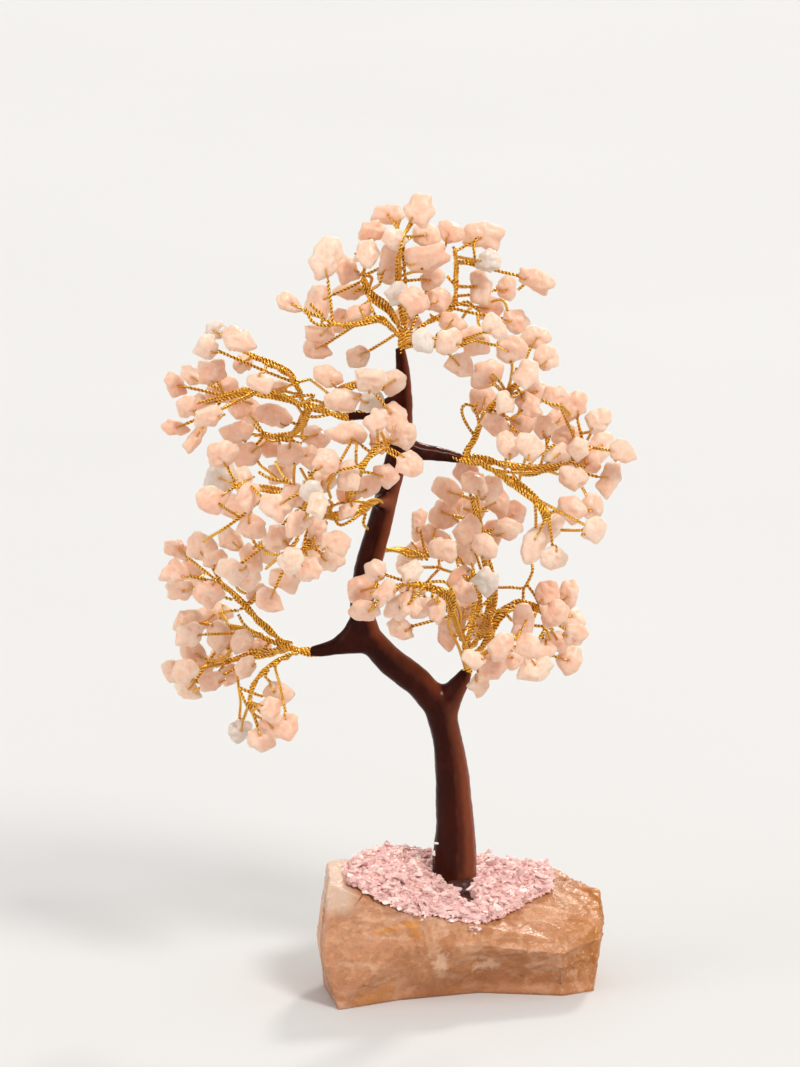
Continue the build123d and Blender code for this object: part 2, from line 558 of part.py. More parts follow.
# Sprays. Each has the bundle that it leaves, its stems and its chips. A stem starts at a share of
# the bundle's last run. A chip has its place, the shares of the chip length that it is long and
# wide, and its turn in degrees; its depth is found where it clears everything else.
spray_shares = {
    "top_left": ("top", [
        (0.50, (0.378, 0.322, -0.03), (0.353, 0.329, -0.06), (0.331, 0.326, -0.08)),
        (0.76, (0.389, 0.315, 0.05), (0.371, 0.299, 0.07), (0.362, 0.276, 0.07)),
    ], [
        (0.320, 0.304, 0.98, 0.78, 80), (0.291, 0.307, 0.92, 0.54, 150),
        (0.360, 0.316, 0.86, 0.50, 15), (0.340, 0.322, 0.78, 0.62, 60),
        (0.321, 0.337, 0.84, 0.62, 10), (0.318, 0.352, 0.92, 0.60, 170),
        (0.359, 0.359, 0.74, 0.64, 30), (0.326, 0.262, 1.34, 0.86, 65),
        (0.346, 0.272, 0.92, 0.70, 120), (0.350, 0.294, 1.06, 0.54, 5),
        (0.368, 0.259, 0.84, 0.74, 80), (0.372, 0.236, 0.88, 0.66, 25),
        (0.389, 0.267, 1.24, 0.62, 85),
    ]),
    "top_crown": ("top", [
        (1.0, (0.403, 0.302, -0.01), (0.399, 0.268, 0.0), (0.403, 0.238, 0.01)),
    ], [
        (0.420, 0.217, 1.04, 0.92, 110), (0.389, 0.219, 1.06, 0.58, 10),
        (0.426, 0.240, 0.88, 0.70, 160), (0.426, 0.263, 1.28, 0.92, 15),
        (0.431, 0.282, 0.84, 0.66, 70), (0.438, 0.303, 0.80, 0.74, 10),
        (0.397, 0.297, 0.86, 0.70, 60), (0.414, 0.305, 0.84, 0.76, 130),
        (0.409, 0.320, 0.88, 0.66, 160), (0.395, 0.244, 0.80, 0.62, 140),
    ]),
    "top_right": ("top", [
        (0.26, (0.428, 0.326, 0.08), (0.452, 0.309, 0.11), (0.456, 0.280, 0.13), (0.454, 0.252, 0.12)),
    ], [
        (0.450, 0.236, 0.88, 0.62, 155), (0.482, 0.238, 1.20, 0.86, 170),
        (0.487, 0.265, 0.80, 0.68, 30), (0.480, 0.290, 1.08, 0.68, 95),
        (0.506, 0.290, 0.90, 0.60, 100), (0.535, 0.283, 1.12, 0.66, 155),
        (0.488, 0.311, 0.86, 0.66, 40), (0.515, 0.323, 0.90, 0.70, 140),
    ]),
    "top_front": ("top", [
        (0.06, (0.428, 0.346, -0.10), (0.452, 0.350, -0.15), (0.474, 0.343, -0.17)),
    ], [
        (0.447, 0.345, 0.92, 0.78, 30), (0.474, 0.344, 0.96, 0.80, 110),
        (0.458, 0.367, 0.90, 0.72, 10), (0.423, 0.345, 0.76, 0.66, 100),
        (0.509, 0.352, 1.00, 0.82, 30), (0.452, 0.327, 0.84, 0.68, 150),
        (0.494, 0.332, 0.94, 0.60, 140),
    ]),
    "upper_left_outer": ("upper_left", [
        (1.0, (0.274, 0.397, 0.04), (0.249, 0.391, 0.05), (0.223, 0.398, 0.05)),
    ], [
        (0.177, 0.386, 0.88, 0.56, 120), (0.193, 0.377, 0.78, 0.54, 150),
        (0.214, 0.374, 0.88, 0.72, 10), (0.222, 0.391, 1.08, 0.84, 30),
        (0.201, 0.407, 0.84, 0.72, 165), (0.189, 0.408, 0.80, 0.60, 60),
        (0.197, 0.439, 1.00, 0.40, 52), (0.177, 0.429, 0.86, 0.48, 170),
        (0.211, 0.418, 0.94, 0.62, 20), (0.240, 0.404, 0.98, 0.74, 80),
    ]),
    "upper_left_high": ("upper_left", [
        (0.72, (0.292, 0.379, 0.0), (0.266, 0.364, -0.02), (0.243, 0.353, -0.03)),
    ], [
        (0.210, 0.349, 0.80, 0.66, 70), (0.242, 0.344, 1.10, 0.74, 165),
        (0.217, 0.333, 0.70, 0.56, 20), (0.244, 0.365, 0.66, 0.54, 30),
        (0.262, 0.385, 0.84, 0.54, 170), (0.278, 0.390, 0.60, 0.50, 60),
    ]),
    "upper_left_back": ("upper_left", [
        (0.45, (0.303, 0.425, 0.12), (0.288, 0.438, 0.17), (0.262, 0.436, 0.19)),
    ], [
        (0.250, 0.411, 0.92, 0.70, 100), (0.275, 0.417, 1.10, 0.70, 170),
        (0.239, 0.433, 1.02, 0.72, 30), (0.269, 0.447, 0.84, 0.70, 140),
        (0.291, 0.456, 0.86, 0.70, 15), (0.310, 0.458, 0.82, 0.62, 95),
        (0.315, 0.437, 0.90, 0.66, 150), (0.246, 0.455, 0.98, 0.80, 60),
        (0.281, 0.474, 0.84, 0.66, 20),
    ]),
    "upper_left_inner": ("upper_left", [
        (0.12, (0.334, 0.399, -0.08), (0.352, 0.388, -0.14), (0.376, 0.394, -0.17)),
    ], [
        (0.329, 0.379, 0.92, 0.62, 160), (0.372, 0.383, 0.98, 0.84, 10),
        (0.393, 0.386, 0.84, 0.72, 80), (0.343, 0.402, 1.06, 0.72, 175),
        (0.371, 0.403, 0.82, 0.70, 30), (0.394, 0.419, 0.90, 0.76, 120),
    ]),
    "middle_left_high": ("middle_left", [
        (0.28, (0.352, 0.492, -0.26), (0.364, 0.466, -0.28), (0.380, 0.444, -0.28)),
    ], [
        (0.347, 0.435, 1.30, 0.66, 5), (0.377, 0.424, 0.80, 0.64, 60),
        (0.379, 0.443, 0.80, 0.60, 100), (0.404, 0.437, 0.84, 0.74, 70),
        (0.408, 0.466, 0.86, 0.78, 20), (0.386, 0.476, 0.86, 0.68, 150),
        (0.367, 0.487, 0.90, 0.70, 30), (0.350, 0.477, 0.90, 0.70, 95),
        (0.349, 0.494, 0.80, 0.62, 165), (0.349, 0.511, 0.66, 0.46, 20),
    ]),
    "middle_left_outer": ("middle_left", [
        (1.0, (0.293, 0.497, -0.20), (0.262, 0.489, -0.18), (0.236, 0.487, -0.16)),
        (0.86, (0.288, 0.531, -0.12), (0.262, 0.545, -0.08), (0.244, 0.553, -0.07)),
    ], [
        (0.224, 0.455, 0.98, 0.84, 30), (0.224, 0.477, 1.20, 0.92, 80),
        (0.244, 0.482, 0.88, 0.72, 130), (0.214, 0.500, 1.00, 0.78, 160),
        (0.236, 0.508, 0.92, 0.70, 160), (0.251, 0.497, 0.86, 0.68, 60),
        (0.253, 0.527, 0.96, 0.80, 25), (0.253, 0.558, 0.90, 0.68, 110),
        (0.250, 0.578, 0.88, 0.62, 60), (0.234, 0.570, 0.92, 0.76, 150),
        (0.233, 0.541, 0.88, 0.64, 150), (0.270, 0.550, 0.90, 0.70, 80),
    ]),
    "middle_left_front": ("middle_left", [
        (0.62, (0.318, 0.492, -0.33), (0.311, 0.474, -0.36)),
        (0.76, (0.312, 0.540, -0.28), (0.298, 0.556, -0.29)),
    ], [
        (0.327, 0.463, 0.82, 0.76, 10), (0.324, 0.480, 0.78, 0.66, 140),
        (0.312, 0.492, 0.76, 0.64, 60), (0.320, 0.506, 0.80, 0.62, 80),
        (0.294, 0.496, 0.84, 0.70, 20), (0.278, 0.507, 0.92, 0.74, 150),
        (0.298, 0.525, 0.88, 0.72, 60), (0.319, 0.528, 0.94, 0.58, 95),
        (0.279, 0.537, 0.94, 0.74, 10), (0.337, 0.542, 0.86, 0.70, 160),
        (0.331, 0.560, 0.90, 0.76, 40), (0.315, 0.548, 0.86, 0.66, 100),
        (0.310, 0.568, 0.88, 0.72, 20), (0.287, 0.578, 0.94, 0.70, 165),
        (0.272, 0.600, 0.92, 0.68, 150), (0.294, 0.560, 0.90, 0.70, 60),
    ]),
    "lower_left_high": ("lower_left", [
        (0.80, (0.262, 0.623, -0.04), (0.240, 0.600, -0.05), (0.220, 0.580, -0.05)),
    ], [
        (0.203, 0.548, 1.02, 0.82, 165), (0.179, 0.549, 0.84, 0.54, 160),
        (0.175, 0.572, 0.92, 0.72, 30), (0.193, 0.573, 0.84, 0.72, 130),
        (0.182, 0.590, 0.88, 0.64, 170), (0.210, 0.593, 0.90, 0.76, 150),
        (0.257, 0.593, 0.76, 0.56, 60), (0.217, 0.559, 0.74, 0.52, 20),
    ]),
    "lower_left_outer": ("lower_left", [
        (1.0, (0.254, 0.633, 0.04), (0.229, 0.627, 0.08), (0.206, 0.624, 0.09)),
        (0.50, (0.266, 0.654, 0.06), (0.238, 0.658, 0.09), (0.216, 0.666, 0.10)),
    ], [
        (0.188, 0.620, 1.00, 0.76, 20), (0.204, 0.618, 0.88, 0.72, 30),
        (0.219, 0.636, 0.98, 0.72, 95), (0.191, 0.634, 0.88, 0.70, 15),
        (0.192, 0.652, 0.90, 0.72, 130), (0.228, 0.636, 0.78, 0.62, 60),
        (0.242, 0.641, 0.86, 0.66, 70), (0.203, 0.668, 0.92, 0.74, 100),
        (0.219, 0.656, 0.80, 0.66, 10), (0.174, 0.670, 0.80, 0.60, 120),
        (0.189, 0.690, 0.90, 0.60, 165), (0.231, 0.674, 0.72, 0.64, 40),
        (0.246, 0.666, 0.80, 0.60, 70), (0.259, 0.648, 0.78, 0.60, 20),
        (0.186, 0.671, 0.90, 0.72, 70), (0.212, 0.681, 0.80, 0.60, 20),
        (0.220, 0.612, 0.84, 0.56, 160),
    ]),
    "lower_left_drop": ("lower_left", [
        (0.24, (0.274, 0.664, -0.08), (0.256, 0.682, -0.11), (0.250, 0.703, -0.12)),
    ], [
        (0.279, 0.691, 0.86, 0.66, 150), (0.271, 0.708, 0.80, 0.66, 100),
        (0.276, 0.726, 0.98, 0.80, 20), (0.263, 0.738, 0.90, 0.70, 160),
        (0.290, 0.724, 0.82, 0.60, 70), (0.240, 0.730, 0.82, 0.72, 85),
    ]),
    "right_outer": ("right", [
        (1.0, (0.512, 0.467, 0.03), (0.541, 0.469, 0.06), (0.567, 0.460, 0.08), (0.585, 0.445, 0.08)),
    ], [
        (0.573, 0.407, 1.00, 0.78, 40), (0.596, 0.421, 0.88, 0.72, 60),
        (0.566, 0.436, 0.88, 0.72, 160), (0.555, 0.455, 0.92, 0.66, 20),
        (0.571, 0.477, 0.92, 0.70, 150), (0.587, 0.463, 0.92, 0.76, 60),
        (0.600, 0.446, 0.92, 0.72, 60), (0.621, 0.453, 0.94, 0.66, 150),
        (0.608, 0.480, 1.14, 0.62, 65), (0.543, 0.427, 0.78, 0.60, 80),
        (0.554, 0.398, 0.80, 0.68, 150), (0.556, 0.418, 0.88, 0.70, 30),
        (0.577, 0.450, 0.76, 0.62, 60),
    ]),
    "right_upper": ("right", [
        (0.16, (0.473, 0.440, 0.03), (0.482, 0.418, 0.0), (0.500, 0.397, -0.04), (0.519, 0.382, -0.06)),
    ], [
        (0.485, 0.376, 1.10, 0.78, 35), (0.482, 0.400, 0.90, 0.80, 100),
        (0.545, 0.361, 0.88, 0.72, 150), (0.525, 0.376, 0.88, 0.72, 60),
        (0.534, 0.340, 0.94, 0.70, 170), (0.535, 0.392, 0.88, 0.72, 110),
        (0.528, 0.408, 0.92, 0.70, 160), (0.494, 0.425, 0.88, 0.66, 140),
        (0.520, 0.425, 0.88, 0.70, 25), (0.503, 0.404, 0.70, 0.58, 100),
    ]),
    "right_lower": ("right", [
        (0.62, (0.505, 0.480, -0.06), (0.530, 0.498, -0.09), (0.549, 0.515, -0.10)),
    ], [
        (0.590, 0.508, 0.94, 0.70, 110), (0.569, 0.509, 0.92, 0.80, 150),
        (0.591, 0.530, 0.90, 0.74, 95), (0.547, 0.530, 1.20, 0.68, 35),
        (0.531, 0.548, 1.04, 0.72, 75), (0.552, 0.558, 0.84, 0.72, 160),
        (0.506, 0.447, 0.84, 0.60, 110), (0.527, 0.447, 0.90, 0.70, 140),
    ]),
    "lower_right_left": ("lower_right", [
        (0.84, (0.455, 0.622, -0.11), (0.449, 0.598, -0.17), (0.427, 0.585, -0.21), (0.402, 0.583, -0.22)),
    ], [
        (0.376, 0.571, 0.76, 0.64, 100), (0.363, 0.588, 0.98, 0.80, 20),
        (0.364, 0.609, 1.00, 0.72, 10), (0.411, 0.571, 0.70, 0.62, 30),
        (0.401, 0.628, 0.88, 0.66, 160), (0.398, 0.606, 0.88, 0.74, 80),
        (0.410, 0.604, 0.78, 0.64, 120), (0.423, 0.607, 0.84, 0.58, 20),
        (0.436, 0.610, 0.86, 0.56, 95), (0.386, 0.591, 0.86, 0.60, 50),
        (0.412, 0.588, 0.82, 0.60, 10),
    ]),
    "lower_right_middle": ("lower_right", [
        (1.0, (0.474, 0.618, 0.03), (0.477, 0.592, 0.05), (0.471, 0.570, 0.05)),
    ], [
        (0.460, 0.577, 0.76, 0.62, 60), (0.464, 0.592, 0.84, 0.66, 150),
        (0.457, 0.618, 0.92, 0.66, 100), (0.447, 0.634, 1.02, 0.56, 95),
        (0.486, 0.580, 0.88, 0.78, 60), (0.479, 0.629, 0.80, 0.54, 60),
        (0.470, 0.606, 0.80, 0.64, 130),
    ]),
    "centre": ("lower_right", [
        (0.66, (0.489, 0.622, 0.11), (0.493, 0.590, 0.15), (0.486, 0.556, 0.16),
         (0.477, 0.524, 0.14), (0.472, 0.497, 0.12)),
    ], [
        (0.465, 0.472, 0.94, 0.72, 80), (0.447, 0.490, 0.96, 0.74, 145),
        (0.474, 0.484, 0.92, 0.74, 150), (0.490, 0.490, 0.90, 0.74, 60),
        (0.443, 0.514, 0.94, 0.82, 10), (0.474, 0.508, 0.88, 0.74, 80),
        (0.497, 0.503, 0.92, 0.74, 130), (0.511, 0.515, 0.94, 0.80, 30),
        (0.508, 0.529, 0.86, 0.70, 160), (0.468, 0.531, 0.92, 0.76, 45),
        (0.493, 0.533, 0.90, 0.76, 110), (0.466, 0.551, 0.94, 0.74, 100),
        (0.484, 0.547, 0.86, 0.70, 140), (0.457, 0.505, 0.86, 0.74, 70),
    ]),
    "lower_right_outer": ("lower_right", [
        (0.44, (0.487, 0.642, 0.07), (0.503, 0.614, 0.10), (0.528, 0.603, 0.12), (0.548, 0.618, 0.13)),
    ], [
        (0.547, 0.595, 0.92, 0.70, 110), (0.554, 0.613, 0.90, 0.74, 30),
        (0.568, 0.594, 0.94, 0.58, 85), (0.571, 0.618, 0.90, 0.70, 140),
        (0.574, 0.635, 0.86, 0.72, 60), (0.557, 0.642, 0.88, 0.70, 10),
        (0.569, 0.660, 0.92, 0.74, 70), (0.541, 0.650, 0.84, 0.66, 150),
    ]),
    "lower_right_low": ("lower_right", [
        (0.20, (0.485, 0.655, -0.06), (0.502, 0.638, -0.09), (0.521, 0.637, -0.10)),
    ], [
        (0.490, 0.667, 0.98, 0.74, 50), (0.479, 0.684, 0.76, 0.58, 60),
        (0.499, 0.645, 1.00, 0.74, 60), (0.522, 0.622, 1.12, 0.68, 85),
        (0.526, 0.645, 0.90, 0.76, 30), (0.534, 0.668, 1.12, 0.70, 5),
        (0.512, 0.658, 0.86, 0.66, 150), (0.472, 0.657, 0.72, 0.50, 140),
    ]),
    "middle_right": ("middle_right", [
        (1.0, (0.438, 0.550, 0.10), (0.450, 0.538, 0.11)),
    ], [
        (0.418, 0.521, 0.78, 0.46, 80), (0.431, 0.537, 1.26, 0.78, 155),
        (0.415, 0.551, 0.82, 0.66, 20), (0.443, 0.549, 0.86, 0.68, 170),
        (0.405, 0.564, 0.72, 0.60, 60),
    ]),
}
stem_taper_share = 0.12
attach_step = 1.5
attach_margin = 1.2
depth_step_share = 0.018
chip_scatter_share = 0.05
chip_scatter_phase = 2.1
depth_steps = 24
nudge_shares = [(0, 0), (0.004, 0), (-0.004, 0), (0, 0.004), (0, -0.004), (0.008, 0.004), (-0.008, 0.004)]
steepest_attach = math.cos(math.radians(25))


def attach_spots(points, blocks):
    """Where twigs can leave a stem: evenly along each run, and at its end."""
    spots = []
    for run, block in enumerate(blocks):
        length = np.linalg.norm(points[run + 1] - points[run])
        count = max(int((length - 2 * attach_margin) / attach_step), 1)
        for step in range(count + 1):
            share = (attach_margin + (length - 2 * attach_margin) * step / count) / length
            spots.append((along(points, run, share), unit(points[run + 1] - points[run]), block))
    return spots


def find_twig(chip, spots, placed):
    """The shortest straight twig that reaches the chip and clears everything else."""
    order = sorted(spots, key=lambda spot: np.linalg.norm(spot[0] - chip.middle))
    for spot, stem_direction, block in order:
        low, high, direction, corners = straight_piece(
            spot, chip.middle, twig_width, twig_sides, block, chip.block
        )
        if high - low < twig_least_length:
            continue
        if abs(direction @ stem_direction) > steepest_attach:
            continue
        foot = spot + direction * low
        tip = spot + direction * high
        gaps = placed.clearances(foot + direction * twig_width / 2, tip, twig_width / 2)
        others = np.array([owner is not block for owner in placed.owners])
        if (gaps[others] > seat_gap).all():
            rings = [[end + corner for corner in corners] for end in (foot, tip)]
            return foot, tip, Block(rings)
    return None


def place_chip(shares, number, stem_depth, spots, placed):
    """Finds the depth at which a chip and its twig clear all that stands already."""
    x_share, y_share, long_share, short_share, turn = shares
    for nudge_x, nudge_y in nudge_shares:
        for step in range(depth_steps):
            side = -1 if step % 2 else 1
            depth = stem_depth + side * ((step + 1) // 2) * depth_step_share
            depth += chip_scatter_share * math.sin(number * chip_scatter_phase)
            middle = place(x_share + nudge_x, y_share + nudge_y, depth)
            chip = Chip(middle, long_share, short_share, turn, number)
            if (placed.clearances(chip.start, chip.end, chip.radius) < chip_gap).any():
                continue
            twig = find_twig(chip, spots, placed)
            if twig is not None:
                return chip, twig
    return None


def make_sprays(routes, limbs):
    """Stems, twigs and chips of every spray, as lists of blocks."""
    placed = Obstacles()
    for limb in limbs:
        for (start, _, start_radius), (end, _, end_radius) in zip(limb, limb[1:]):
            placed.add(start, end, max(start_radius, end_radius), "coat")
    for name, (points, blocks) in routes.items():
        width = bundle_width * bundle_width_shares.get(name, 1)
        for start, end, block in zip(points, points[1:], blocks):
            placed.add(start, end, width / 2, block)
    stems = {}
    for name, (bundle, stem_rows, chip_rows) in spray_shares.items():
        points, blocks = routes[bundle]
        stems[name] = []
        for share, *rows in stem_rows:
            route = [along(points, len(points) - 2, share)] + [place(*row) for row in rows]
            widths = [stem_width * (1 - stem_taper_share * run) for run in range(len(rows))]
            runs = mitred_runs(route, widths, blocks[-1])
            stems[name].append((route, runs))
            for run, (start, end, block) in enumerate(zip(route, route[1:], runs)):
                placed.add(start, end, widths[run] / 2, block)
    sprays = {}
    number = 0
    left_out = []
    for name, (bundle, stem_rows, chip_rows) in spray_shares.items():
        spots = [spot for route, runs in stems[name] for spot in attach_spots(route, runs)]
        stem_depth = sum(row[2] for stem in stem_rows for row in stem[1:])
        stem_depth /= sum(len(stem) - 1 for stem in stem_rows)
        twigs = [block for route, runs in stems[name] for block in runs]
        chips = []
        for shares in chip_rows:
            number += 1
            found = place_chip(shares, number, stem_depth, spots, placed)
            if found is None:
                left_out.append((name, shares))
                continue
            chip, (foot, tip, twig) = found
            placed.add(chip.start, chip.end, chip.radius, chip)
            placed.add(foot, tip, twig_width / 2, twig)
            chips.append(chip.block)
            twigs.append(twig)
        sprays[name] = (twigs, chips)
    print("chips placed", sum(len(chips) for twigs, chips in sprays.values()), "left out", left_out)
    return sprays


def save(name, pieces):
    shape = pieces[0] if len(pieces) == 1 else Compound(pieces)
    export_step(shape, os.path.join("parts", name + ".step"))


def main():
    os.makedirs("parts", exist_ok=True)
    routes = make_wire_routes()
    limbs = coat_limbs()
    sprays = make_sprays(routes, limbs)
    wire_blocks = [block for points, blocks in routes.values() for block in blocks]
    save("base_stone", [make_base_stone()])
    save("glue_bed", [make_glue_bed()])
    save("gravel", make_gravel())
    save("trunk_coat", [make_trunk_coat(limbs, wire_blocks)])
    for name, (points, blocks) in routes.items():
        node = "trunk_core" if name == "core" else "wire_bundle_" + name
        save(node, [block.solid() for block in blocks])
    for name, (twigs, chips) in sprays.items():
        save(name + "_twigs", [block.solid() for block in twigs])
        save(name + "_chips", [block.solid() for block in chips])


main()
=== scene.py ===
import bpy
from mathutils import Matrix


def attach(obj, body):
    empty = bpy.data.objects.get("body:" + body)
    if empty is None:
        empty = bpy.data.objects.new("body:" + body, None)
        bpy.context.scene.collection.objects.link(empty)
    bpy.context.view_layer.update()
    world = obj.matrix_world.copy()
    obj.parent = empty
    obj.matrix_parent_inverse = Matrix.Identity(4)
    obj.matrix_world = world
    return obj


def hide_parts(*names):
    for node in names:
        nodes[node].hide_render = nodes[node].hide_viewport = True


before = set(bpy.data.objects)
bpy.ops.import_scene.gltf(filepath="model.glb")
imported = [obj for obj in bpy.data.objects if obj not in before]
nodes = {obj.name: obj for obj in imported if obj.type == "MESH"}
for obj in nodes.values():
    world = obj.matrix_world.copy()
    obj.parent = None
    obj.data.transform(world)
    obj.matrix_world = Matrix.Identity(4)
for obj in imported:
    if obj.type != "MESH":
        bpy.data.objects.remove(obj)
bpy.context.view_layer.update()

import functools
import math
import random

import bmesh
import bpy
import numpy as np
from mathutils import Matrix, Quaternion, Vector, noise
from mathutils.bvhtree import BVHTree

# Gemstone tree ornament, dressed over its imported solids. Metres, in the frame of the solids.
MM = 0.001
# With both seeds set, every run gives the same shapes
random.seed(7)
noise.seed_set(7)

# The photograph's frame, the pixel under which the stone's middle stands, and the scale
photo_width_px = 800
photo_height_px = 1067
centre_x_px = 461.5
ground_y_px = 980.0
metre_per_px = 0.3330 * MM
view_tilt = math.radians(14)
camera_distance = 4.0
camera_sees_to = 100
sensor_height_mm = 24.0

# Suns: strength, width, elevation and azimuth in degrees, and colour
suns = {
    "key": (1.6, 15, 48, 36, (1.0, 0.955, 0.90)),
    "side": (0.62, 40, 22, -66, (1.0, 0.92, 0.82)),
    "rim": (1.0, 9, 38, 160, (1.0, 0.93, 0.84)),
}
# The room's light grows upward between two heights of a direction; the eye sees an even grey
room_low, room_high = -0.15, 0.85
room_dim, room_bright = 0.36, 0.72
room_colour = (1.0, 0.985, 0.965, 1)
seen_grey = (0.84, 0.84, 0.84, 1)
floor_reach = 12.0

# Wires; a strand starts at any turn up to this one, in radians
single_radius = 0.30 * MM
pair_radius = 0.31 * MM
twist_pitch = 2.5 * MM
strand_sides = 6
fine_step = 0.26 * MM
any_turn = 6

chip_nodes = sorted(name for name in nodes if name.endswith("_chips"))
twig_nodes = sorted(name for name in nodes if name.endswith("_twigs"))
bundle_nodes = sorted(name for name in nodes if name.startswith("wire_bundle"))

# Lengths under this one are nothing, and corners nearer than the gap are one corner
nothing = 1e-12
corner_gap = 1e-6


def unit(vector):
    return vector / max(np.linalg.norm(vector), nothing)


def smooth_step(low, high, value):
    share = np.clip((value - low) / (high - low), 0, 1)
    return share * share * (3 - 2 * share)


def add_object(name, data):
    thing = bpy.data.objects.new(name, data)
    bpy.context.scene.collection.objects.link(thing)
    return thing


def feed(tree, socket, value):
    """Links an input to an output, or gives it a plain value."""
    if hasattr(value, "links"):
        tree.links.new(value, socket)
    else:
        socket.default_value = value


def add_node(tree, kind, inputs=None, **settings):
    """A new shader node, with its inputs by name or number, and its settings."""
    node = tree.nodes.new("ShaderNode" + kind)
    for name, value in settings.items():
        setattr(node, name, value)
    for key, value in (inputs or {}).items():
        feed(tree, node.inputs[key], value)
    return node


# Camera and light
def make_camera():
    forward = Vector((0, math.cos(view_tilt), -math.sin(view_tilt)))
    up = Vector((0, math.sin(view_tilt), math.cos(view_tilt)))
    across = (photo_width_px / 2 - centre_x_px) * metre_per_px
    rise = (ground_y_px - photo_height_px / 2) * metre_per_px
    target = Vector((across, 0, 0)) + up * rise
    data = bpy.data.cameras.new("camera")
    data.sensor_fit = "VERTICAL"
    data.sensor_height = sensor_height_mm
    data.lens = sensor_height_mm * camera_distance / (photo_height_px * metre_per_px)
    data.clip_end = camera_sees_to
    camera = add_object("camera", data)
    camera.location = target - forward * camera_distance
    camera.rotation_euler = forward.to_track_quat("-Z", "Y").to_euler()
    bpy.context.scene.camera = camera


def make_suns():
    for name, (strength, width, elevation, azimuth, colour) in suns.items():
        data = bpy.data.lights.new(name, "SUN")
        data.energy = strength
        data.angle = math.radians(width)
        data.color = colour
        light = add_object(name, data)
        light.rotation_euler = (math.radians(90 - elevation), 0, math.radians(azimuth))


def make_room():
    """The room's light, with the even grey for every ray that shows the room itself."""
    world = bpy.data.worlds.new("studio")
    world.use_nodes = True
    tree = world.node_tree
    tree.nodes.clear()
    direction = add_node(tree, "TexCoord").outputs["Generated"]
    strength = add_node(tree, "MapRange", {
        "Value": add_node(tree, "SeparateXYZ", {0: direction}).outputs["Z"],
        "From Min": room_low, "From Max": room_high, "To Min": room_dim, "To Max": room_bright,
    })
    ambient = add_node(tree, "Background", {"Color": room_colour, "Strength": strength.outputs[0]})
    seen = add_node(tree, "Background", {"Color": seen_grey})
    rays = add_node(tree, "LightPath").outputs
    shown = rays["Is Camera Ray"]
    for kind in ("Is Glossy Ray", "Is Transmission Ray"):
        shown = add_node(tree, "Math", {0: shown, 1: rays[kind]}, operation="MAXIMUM").outputs[0]
    mix = add_node(tree, "MixShader", {"Fac": shown, 1: ambient.outputs[0], 2: seen.outputs[0]})
    add_node(tree, "OutputWorld", {"Surface": mix.outputs[0]})
    bpy.context.scene.world = world


# Materials: how deep light goes into each, and how far its surface stands out and sinks in
glow_depth = {
    "rose_quartz_chip": 3.0 * MM, "rough_rose_quartz": 3.0 * MM, "crushed_quartz": 1.2 * MM,
    "set_glue": 1.5 * MM,
}
relief = {
    "rose_quartz_chip": 0.24 * MM, "brass_wire": 0.03 * MM, "brown_resin": 0.30 * MM,
    "rough_rose_quartz": 0.30 * MM, "crushed_quartz": 0.08 * MM, "set_glue": 0.35 * MM,
}
# Marks on the stone's front: their two ends, as points without depth, how far from the line between
# them the colour is full, and how far it fades
marks = {
    "orange line": ((-0.0295, 0, 0.0246), (-0.0160, 0, 0.0270), 0.1 * MM, 1.0 * MM),
    "orange patch": ((-0.0160, 0, 0.0270), (-0.0155, 0, 0.0235), 0.3 * MM, 2.0 * MM),
    "low stain": ((-0.0330, 0, 0.0015), (-0.0245, 0, 0.0045), 0.8 * MM, 3.6 * MM),
    "hairline": ((-0.0355, 0, 0.0334), (-0.0321, 0, 0.0376), 0.08 * MM, 0.30 * MM),
    "left window": ((-0.0075, 0, 0.0115), (-0.0070, 0, 0.0155), 0.8 * MM, 3.2 * MM),
    "right window": ((0.0060, 0, 0.0105), (0.0100, 0, 0.0115), 0.6 * MM, 2.8 * MM),
}
mark_waver, mark_waver_share = 1.2, 0.6
front_begins, front_full = 0.0, -0.004


